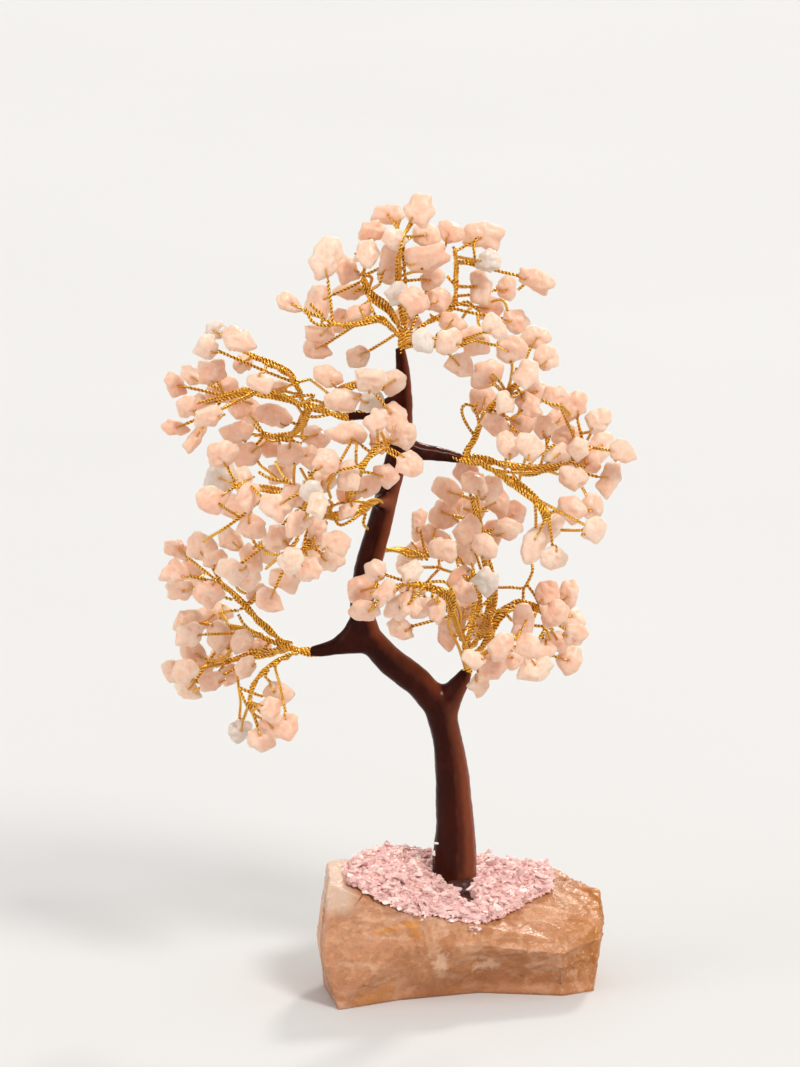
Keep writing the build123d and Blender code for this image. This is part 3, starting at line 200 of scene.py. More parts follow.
class Shader:
    """A material and short ways to add nodes to it."""

    def __init__(self, name):
        self.name = name
        self.material = bpy.data.materials.new(name)
        self.material.use_nodes = True
        self.tree = self.material.node_tree
        self.surface = self.tree.nodes["Principled BSDF"]
        self.place = self.node("TexCoord").outputs["Object"]

    def node(self, kind, inputs=None, **settings):
        return add_node(self.tree, kind, inputs, **settings)

    def set(self, **values):
        """Sets or links inputs of the surface; an underscore stands for a space."""
        for name, value in values.items():
            feed(self.tree, self.surface.inputs[name.replace("_", " ")], value)

    def glow(self, weight, radius):
        self.set(Subsurface_Weight=weight, Subsurface_Radius=radius, Subsurface_Scale=glow_depth[self.name])

    def noise(self, scale, detail=4.0, roughness=0.55, distortion=0.0, place=None):
        return self.node("TexNoise", {
            "Vector": self.place if place is None else place, "Scale": scale, "Detail": detail,
            "Roughness": roughness, "Distortion": distortion,
        }).outputs["Fac"]

    def cells(self, scale):
        return self.node("TexVoronoi", {"Vector": self.place, "Scale": scale}).outputs["Distance"]

    def tint(self):
        return self.node("Attribute", attribute_name="tint").outputs["Fac"]

    def axes(self):
        return self.node("SeparateXYZ", {0: self.place}).outputs

    def ramp(self, value, stops):
        node = self.node("ValToRGB", {"Fac": value})
        points = node.color_ramp.elements
        while len(points) < len(stops):
            points.new(0.5)
        for point, (position, colour) in zip(points, stops):
            point.position = position
            point.color = (*colour, 1)
        return node.outputs["Color"]

    def grey(self, value, low, high, start=0.0, end=1.0):
        return self.ramp(value, [(start, (low,) * 3), (end, (high,) * 3)])

    def mix(self, share, a, b, mode="MIX"):
        a, b = ((*value, 1) if isinstance(value, tuple) else value for value in (a, b))
        inputs = {"Fac": share, "Color1": a, "Color2": b}
        return self.node("MixRGB", inputs, blend_type=mode).outputs["Color"]

    def times(self, a, b):
        """Two outputs multiplied, or one and a number."""
        return self.mix(1.0, a, (b,) * 3 if isinstance(b, float) else b, "MULTIPLY")

    def plus(self, a, b):
        return self.mix(1.0, a, b, "ADD")

    def between(self, value, start, end):
        """Nothing at the start, one at the end."""
        return self.node("MapRange", {"Value": value, "From Min": start, "From Max": end}).outputs[0]

    def vector(self, operation, a, b):
        return self.node("VectorMath", {0: a, 1: b}, operation=operation).outputs

    def near(self, mark):
        """One close to a mark of the stone's front, seen along the depth, and nothing beyond."""
        start, end, inner, outer = marks[mark]
        line = Vector(end) - Vector(start)
        flat = self.vector("MULTIPLY", self.place, (1, 0, 1))[0]
        off = self.vector("SUBTRACT", flat, start)[0]
        share = self.vector("DOT_PRODUCT", off, tuple(line / line.length_squared))["Value"]
        clamped = self.node("Clamp", {"Value": share}).outputs[0]
        reach = self.node("VectorMath", {0: tuple(line), "Scale": clamped}, operation="SCALE").outputs[0]
        gap = self.vector("DISTANCE", off, reach)["Value"]
        wavy = self.plus(self.grey(self.noise(420, 4), 0.0, outer * mark_waver, 0.3, 0.7), gap)
        waver = outer * mark_waver_share
        front = self.between(self.axes()["Y"], front_begins, front_full)
        return self.times(self.between(wavy, outer + waver, inner + waver), front)

    def bump(self, heights, strength):
        inputs = {"Strength": strength, "Distance": relief[self.name]}
        for height in heights:
            inputs["Height"] = height
            inputs["Normal"] = self.node("Bump", inputs).outputs["Normal"]
        self.set(Normal=inputs["Normal"])


def quartz_chip_material():
    """Tumbled rose quartz: milky pink with pale clouds, and a waxy gloss. A few chips are clear."""
    s = Shader("rose_quartz_chip")
    body = s.ramp(s.tint(), [
        (0.0, (0.86, 0.490, 0.335)), (0.45, (0.91, 0.58, 0.415)),
        (0.80, (0.94, 0.68, 0.535)), (1.0, (0.72, 0.66, 0.60)),
    ])
    veins = s.ramp(s.noise(420, 4, 0.65, 1.6), [(0.46, (0,) * 3), (0.54, (1,) * 3), (0.62, (0,) * 3)])
    milky = s.mix(s.grey(s.noise(240, 5, 0.6, 0.6), 0.0, 0.55, 0.42, 0.68), body, (0.97, 0.82, 0.70))
    smoky = s.mix(s.grey(s.noise(330, 5, 0.65), 0.0, 0.50, 0.54, 0.72), milky, (0.70, 0.42, 0.29))
    grained = s.mix(s.grey(s.noise(1000, 4, 0.7), 0.0, 0.42, 0.50, 0.66), smoky, (0.78, 0.50, 0.37))
    s.set(
        Base_Color=s.mix(s.grey(veins, 0.0, 0.15), grained, (0.98, 0.89, 0.81)),
        Roughness=s.grey(s.noise(700, 3), 0.28, 0.55, 0.3, 0.7),
        IOR=1.5, Coat_Weight=0.10, Coat_Roughness=0.14,
    )
    s.glow(0.7, (1.0, 0.68, 0.52))
    s.bump([s.cells(480), s.noise(700, 5, 0.65)], 0.26)
    return s.material


def brass_wire_material():
    """Soft brass craft wire, bright where it turns to the light, with painted shade that darkens the hollows
    between its strands.
    """
    s = Shader("brass_wire")
    bright = s.ramp(s.noise(420, 3), [
        (0.30, (0.86, 0.40, 0.040)), (0.52, (1.0, 0.54, 0.075)), (0.75, (1.0, 0.70, 0.19)),
    ])
    # Painted shade: the wire is mixed toward a dark brown where it lies near its rope's middle, in the
    # hollows between strands
    painted_hollow_shade = s.grey(s.tint(), 1.0, 0.0, 0.55, 0.92)
    s.set(
        Base_Color=s.mix(painted_hollow_shade, bright, (0.14, 0.042, 0.005)),
        Roughness=s.grey(s.noise(1500, 2), 0.12, 0.26, 0.3, 0.7), Metallic=0.80,
    )
    s.bump([s.noise(4000, 2)], 0.10)
    return s.material


# Between these heights the trunk's coat turns to a lighter tone at its foot, which is painted warm light
painted_foot_light_height = (0.098, 0.060)


def brown_resin_material():
    """The trunk's glossy red-brown coat, laid on in soft ripples, with painted warm light on its right side
    and toward its foot.
    """
    s = Shader("brown_resin")
    colour = s.ramp(s.noise(60, 5, 0.6, 0.8), [
        (0.30, (0.010, 0.0010, 0.0005)), (0.50, (0.027, 0.0028, 0.0010)),
        (0.72, (0.058, 0.0075, 0.0025)),
    ])
    # Painted light: the coat is mixed toward a lighter brown toward its foot
    low = s.mix(s.between(s.axes()["Z"], *painted_foot_light_height), colour, (0.042, 0.0058, 0.0020))
    streaks = s.grey(s.noise(420, 4, 0.6), 0.0, 0.35, 0.45, 0.75)
    ripe = s.mix(streaks, s.mix(0.5, colour, low), (0.054, 0.0078, 0.0027))
    # Painted warm light: the sides that face right are mixed toward a lighter brick red, as if lit from the
    # right
    painted_light_facing_right = s.vector("DOT_PRODUCT", s.node("NewGeometry").outputs["Normal"], (1, 0, 0))["Value"]
    s.set(
        Base_Color=s.mix(s.times(s.between(painted_light_facing_right, 0.10, 0.90), 0.85), ripe, (0.27, 0.066, 0.027)),
        Roughness=s.grey(s.noise(300, 3), 0.12, 0.24, 0.3, 0.7),
        IOR=1.45, Specular_IOR_Level=0.05, Coat_Weight=0.10, Coat_Roughness=0.12,
    )
    s.bump([s.noise(130, 3), s.noise(900, 4)], 0.18)
    return s.material


# Where on the stone a tone begins and where it is full, along the stone or up it
pink_along, amber_height = (-0.004, -0.034), (0.030, 0.012)
rust_along, glint_along = (0.029, 0.046), (0.028, 0.044)
painted_low_shade_height, deep_rust_along = (0.018, -0.002), (0.034, 0.048)
frost_along, frost_height = (-0.0335, -0.0385), (0.029, 0.034)
seam_layers = (1.0, 1.0, 4.5)


def rough_quartz_material():
    """The base stone: amber-pink quartz with pale veins, frosty breaks and an iron stain at one end, with
    painted shade toward its foot and painted light and shade on its flats.
    """
    s = Shader("rough_rose_quartz")
    along, _, height = s.axes()
    tone = s.ramp(s.noise(34, 7, 0.62, 0.5), [
        (0.28, (0.34, 0.120, 0.040)), (0.42, (0.52, 0.210, 0.080)),
        (0.54, (0.63, 0.285, 0.125)), (0.66, (0.75, 0.385, 0.205)), (0.78, (0.86, 0.550, 0.370)),
    ])
    tone = s.mix(s.times(s.between(along, *pink_along), 0.50), tone, (0.60, 0.290, 0.160))
    amber = s.times(s.grey(s.noise(22, 3), 0.0, 0.7, 0.48, 0.62), s.between(height, *amber_height))
    tone = s.mix(amber, tone, (0.54, 0.205, 0.065))
    grain = s.ramp(s.noise(520, 6, 0.7, 0.4), [(0.35, (0.60,) * 3), (0.5, (0.86,) * 3), (0.68, (1.0,) * 3)])
    tone = s.mix(0.65, tone, s.times(tone, grain))
    seams = s.noise(55, 5, 0.6, 0.5, s.vector("MULTIPLY", s.place, seam_layers)[0])
    tone = s.mix(s.grey(seams, 0, 0.45, 0.52, 0.72), tone, (0.85, 0.58, 0.42))
    rust = s.grey(s.noise(90, 5, 0.65, 0.6), 0.25, 1.0, 0.36, 0.60)
    tone = s.mix(s.times(s.between(along, *rust_along), rust), tone, (0.47, 0.165, 0.028))
    glints = s.grey(s.noise(620, 3), 0.0, 0.8, 0.58, 0.66)
    tone = s.mix(s.times(s.between(along, *glint_along), glints), tone, (0.95, 0.68, 0.36))
    stains = s.plus(s.plus(s.near("orange line"), s.near("orange patch")), s.near("low stain"))
    tone = s.mix(s.times(stains, 0.75), tone, (0.66, 0.25, 0.020))
    tone = s.mix(s.near("hairline"), tone, (0.07, 0.025, 0.02))
    # Each flat has a tone drawn at random, made paler or darker: colour that varies, and painted light and
    # shade on the flats
    facet_light_and_shade = s.tint()
    tone = s.mix(s.grey(facet_light_and_shade, 0.0, 0.55, 0.52, 0.95), tone, (0.90, 0.58, 0.40))
    tone = s.mix(s.grey(facet_light_and_shade, 0.55, 0.0, 0.10, 0.50), tone, (0.38, 0.140, 0.045))
    # Painted shade: the stone is mixed toward a dark amber toward its foot, where less light falls
    tone = s.mix(s.grey(s.between(height, *painted_low_shade_height), 0.0, 0.45), tone, (0.36, 0.130, 0.045))
    tone = s.mix(s.times(s.between(along, *deep_rust_along), 0.55), tone, (0.50, 0.175, 0.022))
    windows = s.plus(s.near("left window"), s.near("right window"))
    tone = s.mix(s.times(windows, 0.55), tone, (0.90, 0.62, 0.44))
    frost = s.times(s.between(along, *frost_along), s.between(height, *frost_height))
    s.set(
        Base_Color=s.mix(s.times(frost, 0.75), tone, (0.74, 0.56, 0.44)),
        Roughness=s.grey(s.noise(900, 4), 0.26, 0.62, 0.35, 0.60),
        IOR=1.5, Coat_Weight=0.06, Coat_Roughness=0.12,
    )
    s.glow(0.35, (1.0, 0.50, 0.28))
    s.bump([s.cells(300), s.noise(520, 6, 0.65), s.cells(1100)], 0.40)
    return s.material


def crushed_quartz_material():
    """Crushed pale pink quartz, glittering on its broken faces."""
    s = Shader("crushed_quartz")
    s.surface.subsurface_method = "BURLEY"
    s.set(
        Base_Color=s.ramp(s.tint(), [
            (0.0, (0.66, 0.40, 0.385)), (0.4, (0.80, 0.53, 0.505)),
            (0.8, (0.88, 0.65, 0.61)), (1.0, (0.94, 0.82, 0.78)),
        ]),
        Roughness=s.grey(s.noise(1200, 3), 0.25, 0.55, 0.3, 0.7), IOR=1.5, Specular_IOR_Level=0.4,
    )
    s.glow(0.35, (1.0, 0.70, 0.66))
    s.bump([s.noise(2200, 4)], 0.2)
    return s.material


# Round this place at the trunk's foot the glue is brown from resin: from where to where, then dark
foot_place = (-0.0010, -0.009, 0.034)
brown_gap, dark_gap = (0.018, 0.013), (0.013, 0.008)


def set_glue_material():
    """Set glue with quartz dust in it, brownish where the trunk's resin ran into it."""
    s = Shader("set_glue")
    tone = s.ramp(s.noise(330, 5, 0.6), [
        (0.3, (0.42, 0.24, 0.22)), (0.55, (0.66, 0.44, 0.42)), (0.8, (0.90, 0.74, 0.72)),
    ])
    gap = s.vector("DISTANCE", s.place, foot_place)["Value"]
    tone = s.mix(s.between(gap, *brown_gap), tone, (0.20, 0.085, 0.070))
    s.set(
        Base_Color=s.mix(s.between(gap, *dark_gap), tone, (0.055, 0.0110, 0.0060)),
        Roughness=s.grey(s.noise(500, 3), 0.25, 0.55, 0.3, 0.7), IOR=1.48, Specular_IOR_Level=0.3,
    )
    s.set(Subsurface_Weight=0.2, Subsurface_Scale=glow_depth["set_glue"])
    s.bump([s.noise(700, 5), s.cells(900)], 0.5)
    return s.material


def floor_material():
    s = Shader("floor")
    tone = s.ramp(s.noise(3, 3), [(0.3, (0.665, 0.675, 0.685)), (0.7, (0.68, 0.69, 0.70))])
    s.set(Base_Color=tone, Roughness=0.7)
    return s.material


materials = {
    "rose_quartz_chip": quartz_chip_material(),
    "brass_wire": brass_wire_material(),
    "brown_resin": brown_resin_material(),
    "rough_rose_quartz": rough_quartz_material(),
    "crushed_quartz": crushed_quartz_material(),
    "set_glue": set_glue_material(),
}


# Meshes
def make_piece(name, vertices, faces, look, node, smooth=True, tints=None):
    """A mesh object in the place of a CAD node, riding on the one body that the tree is."""
    mesh = bpy.data.meshes.new(name)
    mesh.from_pydata(np.asarray(vertices).tolist(), [], faces)
    if tints is not None:
        layer = mesh.attributes.new("tint", "FLOAT", "POINT")
        layer.data.foreach_set("value", np.asarray(tints, dtype=np.float32))
    mesh.materials.append(materials[look])
    mesh.update()
    if smooth:
        mesh.polygons.foreach_set("use_smooth", [True] * len(mesh.polygons))
    piece = add_object(name, mesh)
    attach(piece, "root")
    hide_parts(node)


class Builder:
    """Gathers vertices and faces of many bits for one object."""

    def __init__(self):
        self.vertices = []
        self.faces = []
        self.tints = []
        self.count = 0

    def add(self, vertices, faces, tint):
        self.vertices.append(np.asarray(vertices))
        self.faces += [[corner + self.count for corner in face] for face in faces]
        self.tints.append(np.broadcast_to(tint, len(vertices)))
        self.count += len(vertices)

    def piece(self, name, look, node, smooth=True):
        tints = np.concatenate(self.tints)
        make_piece(name, np.vstack(self.vertices), self.faces, look, node, smooth, tints)


def rows_of(items, field):
    """One vector of each item of a mesh, such as its place, as rows."""
    values = np.empty(len(items) * 3)
    items.foreach_get(field, values)
    return values.reshape(-1, 3)


def arrays_of(bm):
    """The vertices and faces of a mesh being built, which ends here."""
    vertices = np.array([vertex.co[:] for vertex in bm.verts])
    faces = [[vertex.index for vertex in face.verts] for face in bm.faces]
    bm.free()
    return vertices, faces


@functools.cache
def solids_of(name):
    """Each separate solid of a CAD node: its corners, and its faces as outward normal and reach."""
    mesh = nodes[name].data
    coords = rows_of(mesh.vertices, "co")
    keys = {}
    index = [keys.setdefault(tuple(np.round(co / corner_gap).astype(int)), len(keys)) for co in coords]
    merged = np.zeros((len(keys), 3))
    merged[index] = coords
    parents = list(range(len(keys)))

    def root(item):
        while parents[item] != item:
            parents[item] = parents[parents[item]]
            item = parents[item]
        return item

    polygons = [[index[corner] for corner in polygon.vertices] for polygon in mesh.polygons]
    for polygon in polygons:
        for corner in polygon[1:]:
            parents[root(corner)] = root(polygon[0])
    groups = {}
    for corner in range(len(keys)):
        groups.setdefault(root(corner), ([], []))[0].append(corner)
    for polygon in polygons:
        groups[root(polygon[0])][1].append(polygon)
    solids = []
    for corners, own_polygons in groups.values():
        points = merged[corners]
        middle = points.mean(axis=0)
        planes = {}
        for polygon in own_polygons:
            a, b, c = (merged[corner] for corner in polygon[:3])
            normal = np.cross(b - a, c - a)
            if np.linalg.norm(normal) < nothing:
                continue
            normal = unit(normal)
            if normal @ (a - middle) < 0:
                normal = -normal
            planes[tuple(np.round(normal, 2))] = (normal, normal @ (a - middle))
        solids.append((points, middle, list(planes.values())))
    solids.sort(key=lambda solid: tuple(np.round(solid[1] * 1e5)))
    return solids


def bar_ends(points):
    """The two ends of a straight bar, as the middles of its end faces, and its radius."""
    middle = points.mean(axis=0)
    axis = np.linalg.svd(points - middle)[2][0]
    spots = (points - middle) @ axis
    ends = [points[spots < 0].mean(axis=0), points[spots > 0].mean(axis=0)]
    across = points - middle - np.outer(spots, axis)
    return ends[0], ends[1], np.linalg.norm(across, axis=1).min()


def curve_through(points, step):
    """Points at about even steps on a smooth curve through the given ones."""
    points = np.asarray(points, dtype=float)
    padded = np.vstack([2 * points[0] - points[1], points, 2 * points[-1] - points[-2]])
    result = []
    for number in range(len(points) - 1):
        a, b, c, d = padded[number: number + 4]
        count = max(int(np.linalg.norm(c - b) / step), 2)
        for share in np.arange(count) / count:
            result.append(
                0.5 * (2 * b + (c - a) * share + (2 * a - 5 * b + 4 * c - d) * share ** 2
                       + (3 * b - a - 3 * c + d) * share ** 3)
            )
    result.append(points[-1])
    return np.array(result)


def sides_along(path):
    """Two steady side directions at each point of a path."""
    directions = np.gradient(path, axis=0)
    directions /= np.maximum(np.linalg.norm(directions, axis=1), nothing)[:, None]
    seed = np.array([0.3, 1.0, 0.2])
    sides = []
    side = unit(seed - (seed @ directions[0]) * directions[0])
    for direction in directions:
        side = unit(side - (side @ direction) * direction)
        sides.append(side)
    sides = np.array(sides)
    return sides, np.cross(directions, sides)


def tube(path, radii, sides=strand_sides):
    """Vertices and faces of a closed tube along a path."""
    first, second = sides_along(path)
    radii = np.broadcast_to(radii, len(path))
    turns = np.arange(sides) * 2 * math.pi / sides
    first, second = first[:, None, :], second[:, None, :]
    ring = np.cos(turns)[None, :, None] * first + np.sin(turns)[None, :, None] * second
    vertices = (path[:, None, :] + ring * radii[:, None, None]).reshape(-1, 3)
    faces = []
    for level in range(len(path) - 1):
        low = level * sides
        for step in range(sides):
            after = (step + 1) % sides
            faces.append((low + step, low + after, low + sides + after, low + sides + step))
    faces.append(tuple(range(sides - 1, -1, -1)))
    last = (len(path) - 1) * sides
    faces.append(tuple(range(last, last + sides)))
    return vertices, faces


def helices(path, count, helix_radii, pitch, phase):
    """The middle lines of strands that wind round a path."""
    first, second = sides_along(path)
    lengths = np.concatenate([[0], np.cumsum(np.linalg.norm(np.diff(path, axis=0), axis=1))])
    helix_radii = np.broadcast_to(helix_radii, len(path))
    for strand in range(count):
        turns = 2 * math.pi * (lengths / pitch + strand / count) + phase
        yield path + helix_radii[:, None] * (np.cos(turns)[:, None] * first + np.sin(turns)[:, None] * second)


def add_rope(builder, path, count, helix_radii, strand_radii, pitch, phase=0.0, sides=strand_sides):
    """Strands twisted round a path, whose points are closely spaced."""
    for centres in helices(path, count, helix_radii, pitch, phase):
        vertices, faces = tube(centres, strand_radii, sides)
        # The tint of each vertex is how far out it stands from the path, as a share; the wire material paints
        # shade where it is small, in the hollows between strands
        offsets = vertices.reshape(len(path), sides, 3) - path[:, None, :]
        out = np.linalg.norm(offsets, axis=2).ravel()
        builder.add(vertices, faces, out / out.max())


def add_pair(builder, path):
    add_rope(builder, path, 2, pair_radius, pair_radius, twist_pitch, random.random() * any_turn)


def add_cable(builder, path, count, helix_radii, pitch):
    """Twisted pairs of wire, wound loosely round a path."""
    for centres in helices(path, count, helix_radii, pitch, random.random() * any_turn):
        add_pair(builder, centres)


def blended(radii, path):
    """A radius at each point of a path, blended from those of its straight runs."""
    steps = np.linspace(0, len(radii) - 1, len(path))
    return np.interp(steps, range(len(radii)), radii)


# Chips: how sharp the edges of their flats are, and the bulges, ripples and dents, each with its height
# as a share of the radius and its count round the chip
roundings = (9.0, 13.0, 18.0, 26.0)
chip_growth = 1.05
bulge_height, bulge_count = 0.10, 1.7
ripple_height, ripple_count = 0.045, 4.2
dent_depth, dent_count, dent_edge, dent_seed = 0.42, 1.3, 0.09, 40
parallel = 0.998
wave_shift = (3.7, 1.9, 5.3)
search_reach = 16 * MM
search_steps = 18
# The mouth of a hole: how deep its rim sinks, as a share of the radius, and how wide it is
mouth_sink, mouth_width = 0.18, 0.75 * MM


def ball():
    """A fine ball of unit directions and its faces."""
    bm = bmesh.new()
    bmesh.ops.create_icosphere(bm, subdivisions=4, radius=1.0)
    return arrays_of(bm)


ball_directions, ball_faces = ball()


def waves(points, scale, seed):
    offset = Vector([seed * part for part in wave_shift])
    return np.array([noise.noise(Vector(point) * scale + offset) for point in points])


class QuartzChip:
    """The rounded form that fills one chip's solid."""

    def __init__(self, solid, seed):
        self.points, self.middle, planes = solid
        self.normals = np.array([normal for normal, reach in planes])
        self.reaches = np.array([reach for normal, reach in planes])
        self.seed = seed
        self.rounding = roundings[int(seed * 100) % len(roundings)]
        self.axes = self.find_axes()
        rough = self.bare_ball(np.eye(3))
        wanted = np.ptp(self.points @ self.axes.T, axis=0)
        grown = chip_growth * wanted / np.ptp(rough @ self.axes.T, axis=0)
        self.vertices = self.bare_ball(self.axes.T @ np.diag(grown) @ self.axes)
        self.radii = np.linalg.norm(self.vertices, axis=1)
        self.directions = self.vertices / self.radii[:, None]

    def find_axes(self):
        """Length, width and face directions; the face is the closest pair of parallel planes."""
        opposite = self.normals @ self.normals.T < -parallel
        spans = np.where(opposite, self.reaches[:, None] + self.reaches[None, :], np.inf)
        face = self.normals[np.unravel_index(spans.argmin(), spans.shape)[0]]
        flat = self.points - self.middle
        flat = flat - np.outer(flat @ face, face)
        length = np.linalg.svd(flat)[2][0]
        return np.array([length, np.cross(face, length), face])

    def bare_ball(self, stretch):
        slopes = np.maximum(ball_directions @ self.normals.T, 0) / self.reaches[None, :]
        radii = (slopes ** self.rounding).sum(axis=1) ** (-1 / self.rounding)
        dent = np.maximum(waves(ball_directions, dent_count, self.seed + dent_seed) - dent_edge, 0)
        radii = radii * (
            1 + bulge_height * waves(ball_directions, bulge_count, self.seed)
            + ripple_height * waves(ball_directions, ripple_count, self.seed) - dent_depth * dent
        )
        return ball_directions * radii[:, None] @ stretch

    def radius(self, direction):
        return self.radii[(self.directions @ direction).argmax()]

    def surface_from(self, start, direction):
        """The point where a ray from inside the chip leaves it."""
        low, high = 0.0, search_reach
        for _ in range(search_steps):
            half = (low + high) / 2
            offset = start + direction * half - self.middle
            distance = np.linalg.norm(offset)
            inside = distance < 1e-9 or distance < self.radius(offset / distance)
            low, high = (half, high) if inside else (low, half)
        return start + direction * low

    def mesh(self, mouths):
        vertices = self.vertices.copy()
        for mouth in mouths:
            gap = np.linalg.norm(vertices + self.middle - mouth, axis=1)
            vertices *= (1 - mouth_sink * np.exp(-((gap / mouth_width) ** 2)))[:, None]
        return vertices + self.middle


# Places of the few clear chips in the photograph
clear_chip_px = [
    (487, 265), (423, 345), (371, 403), (486, 580), (240, 730), (217, 333), (224, 477), (312, 492),
    (397, 297),
]
clear_near_px = 7


def photo_px(point):
    """Where a point of the tree stands in the photograph."""
    rise = point[1] * math.sin(view_tilt) + point[2] * math.cos(view_tilt)
    return centre_x_px + point[0] / metre_per_px, ground_y_px - rise / metre_per_px


def is_clear(point):
    x, y = photo_px(point)
    return any(math.hypot(x - a, y - b) < clear_near_px for a, b in clear_chip_px)


# A pair at its chip: it opens before the twig's tip, lies on the chip at some shares of the way to the
# hole, stands off the chip by shares of its own radius, and ends inside the hole
opening_mm, hole_mm = (0.6, 1.4), (2.0, 3.0)
deepest_hole = 0.6
least_across = 0.5
lying_shares = (0.3, 0.6, 0.85)
lying_off, bend_off = 0.9, 0.5
wire_end = 0.8 * MM
wire_step = 0.35 * MM


def wire_at_chip(builder, chip, foot, tip):
    """The wire's last stretch: it opens, goes over both faces of the chip and through its hole."""
    direction = unit(tip - foot)
    face = chip.axes[2]
    across = face - (face @ direction) * direction
    if np.linalg.norm(across) < least_across:
        across = chip.axes[1] - (chip.axes[1] @ direction) * direction
    across = unit(across)
    edge = chip.surface_from(chip.middle, unit(tip - chip.middle))
    depth = np.linalg.norm(chip.middle - edge)
    hole = edge + unit(chip.middle - edge) * min(random.uniform(*hole_mm) * MM, deepest_hole * depth)
    start = tip - direction * random.uniform(*opening_mm) * MM
    mouths = []
    for side in (-1, 1):
        mouth = chip.surface_from(hole, across * side)
        mouths.append(mouth)
        points = [start + across * side * single_radius]
        for share in lying_shares:
            guess = start * (1 - share) + mouth * share
            ray = unit(guess - hole)
            skin = np.linalg.norm(chip.surface_from(hole, ray) - hole) + single_radius * lying_off
            points.append(hole + ray * max(np.linalg.norm(guess - hole), skin))
        points += [mouth + across * side * single_radius * bend_off, mouth - across * side * wire_end]
        # A fixed tint of 0.8 gives this single wire part of the wire material's painted hollow shade, evenly
        # over it
        builder.add(*tube(curve_through(points, wire_step), single_radius), 0.8)
    return start, mouths


# Stems are bars of twelve corners laid end to end, twigs are bars of eight
stem_corners, twig_corners = 12, 8
joint_gap = 0.25 * MM


def stem_route(solids):
    """Joins straight stem runs end to end into smooth routes, with their radii."""
    runs = [bar_ends(points) for points, middle, planes in solids if len(points) == stem_corners]
    routes = []
    while runs:
        start, end, radius = runs.pop()
        route, radii = [start, end], [radius]
        grown = True
        while grown:
            grown = False
            for number, (a, b, width) in enumerate(runs):
                for near, far in ((a, b), (b, a)):
                    if np.linalg.norm(near - route[-1]) < joint_gap:
                        route.append(far)
                        radii.append(width)
                        grown = True
                        break
                    if np.linalg.norm(near - route[0]) < joint_gap:
                        route.insert(0, far)
                        radii.insert(0, width)
                        grown = True
                        break
                if grown:
                    runs.pop(number)
                    break
        if radii[-1] > radii[0]:
            route.reverse()
            radii.reverse()
        routes.append((np.array(route), np.array(radii)))
    return routes


def nearest_on_stems(routes, point):
    """The nearest point of the routes' straight runs, its direction and its distance."""
    best = None
    for route, _ in routes:
        for a, b in zip(route, route[1:]):
            share = np.clip((point - a) @ (b - a) / max((b - a) @ (b - a), nothing), 0, 1)
            spot = a + (b - a) * share
            gap = np.linalg.norm(point - spot)
            if best is None or gap < best[2]:
                best = (spot, unit(b - a), gap)
    return best


# Stems: pairs wound round each route, which closes up toward its end and wavers a little
stem_pairs = 2
stem_spread = 0.62
stem_pitch = 11.0 * MM
stem_narrowing = 5.0 * MM
stem_tip_share = 0.3
stem_waver, stem_waver_scale = 0.6 * MM, 110
# The loose wires that some twigs bring along their stem: where they start, as a share of the way, how
# far they stray, and how much of that at their four marks
long_pair_share = 0.55
run_start, run_aside_mm = (0.0, 0.45), (0.8, 2.6)
run_end_points = 8
run_shares = (0.15, 0.4, 0.7, 0.9)
closest_marks = 1.0 * MM
# A twig whose pair comes from the stem: how far back on it, and two shares of the way out
twig_back = 2.5 * MM
twig_leave, twig_out = 0.7, 0.35
seed_step = 0.37
chip_tints = (0.05, 0.80)


def long_run(paths, spot):
    """Points of a loose wire that runs along a stem up to where a twig leaves it."""
    path, number = min(
        ((path, np.linalg.norm(path - spot, axis=1).argmin()) for path in paths),
        key=lambda found: np.linalg.norm(found[0][found[1]] - spot),
    )
    first = int(number * random.uniform(*run_start))
    aside = unit(np.array([random.gauss(0, 1) for _ in range(3)])) * random.uniform(*run_aside_mm) * MM
    marks = np.linspace(first, max(number - run_end_points, first), len(run_shares)).astype(int)
    run = [path[mark] + aside * math.sin(math.pi * share) for mark, share in zip(marks, run_shares)]
    kept = [run[0]]
    for point in run[1:]:
        if np.linalg.norm(point - kept[-1]) > closest_marks:
            kept.append(point)
    return kept


def add_stem(wires, path, radii):
    waver = np.array([noise.noise_vector(Vector(point) * stem_waver_scale) for point in path])
    path = path + waver * stem_waver * np.sin(np.linspace(0, math.pi, len(path)))[:, None]
    from_end = np.linspace(len(path) * fine_step, 0, len(path))
    narrowing = np.clip(stem_tip_share + from_end / stem_narrowing, 0, 1)
    add_cable(wires, path, stem_pairs, blended(radii, path) * stem_spread * narrowing, stem_pitch)


def add_twig(wires, points, routes, paths, chips):
    """A twisted pair from a stem to the nearest chip; the chip's number and the mouths of its hole."""
    a, b, _ = bar_ends(points)
    near_a, near_b = nearest_on_stems(routes, a), nearest_on_stems(routes, b)
    foot, tip, near = (a, b, near_a) if near_a[2] < near_b[2] else (b, a, near_b)
    number = min(range(len(chips)), key=lambda item: np.linalg.norm(chips[item].points - tip, axis=1).min())
    start, mouths = wire_at_chip(wires, chips[number], foot, tip)
    spot, along, gap = near
    back = long_run(paths, spot) if random.random() < long_pair_share else [spot - along * twig_back]
    leaving = spot + unit(foot - spot) * twig_leave * gap
    add_pair(wires, curve_through([*back, leaving, foot + (start - foot) * twig_out, start], fine_step))
    return number, mouths


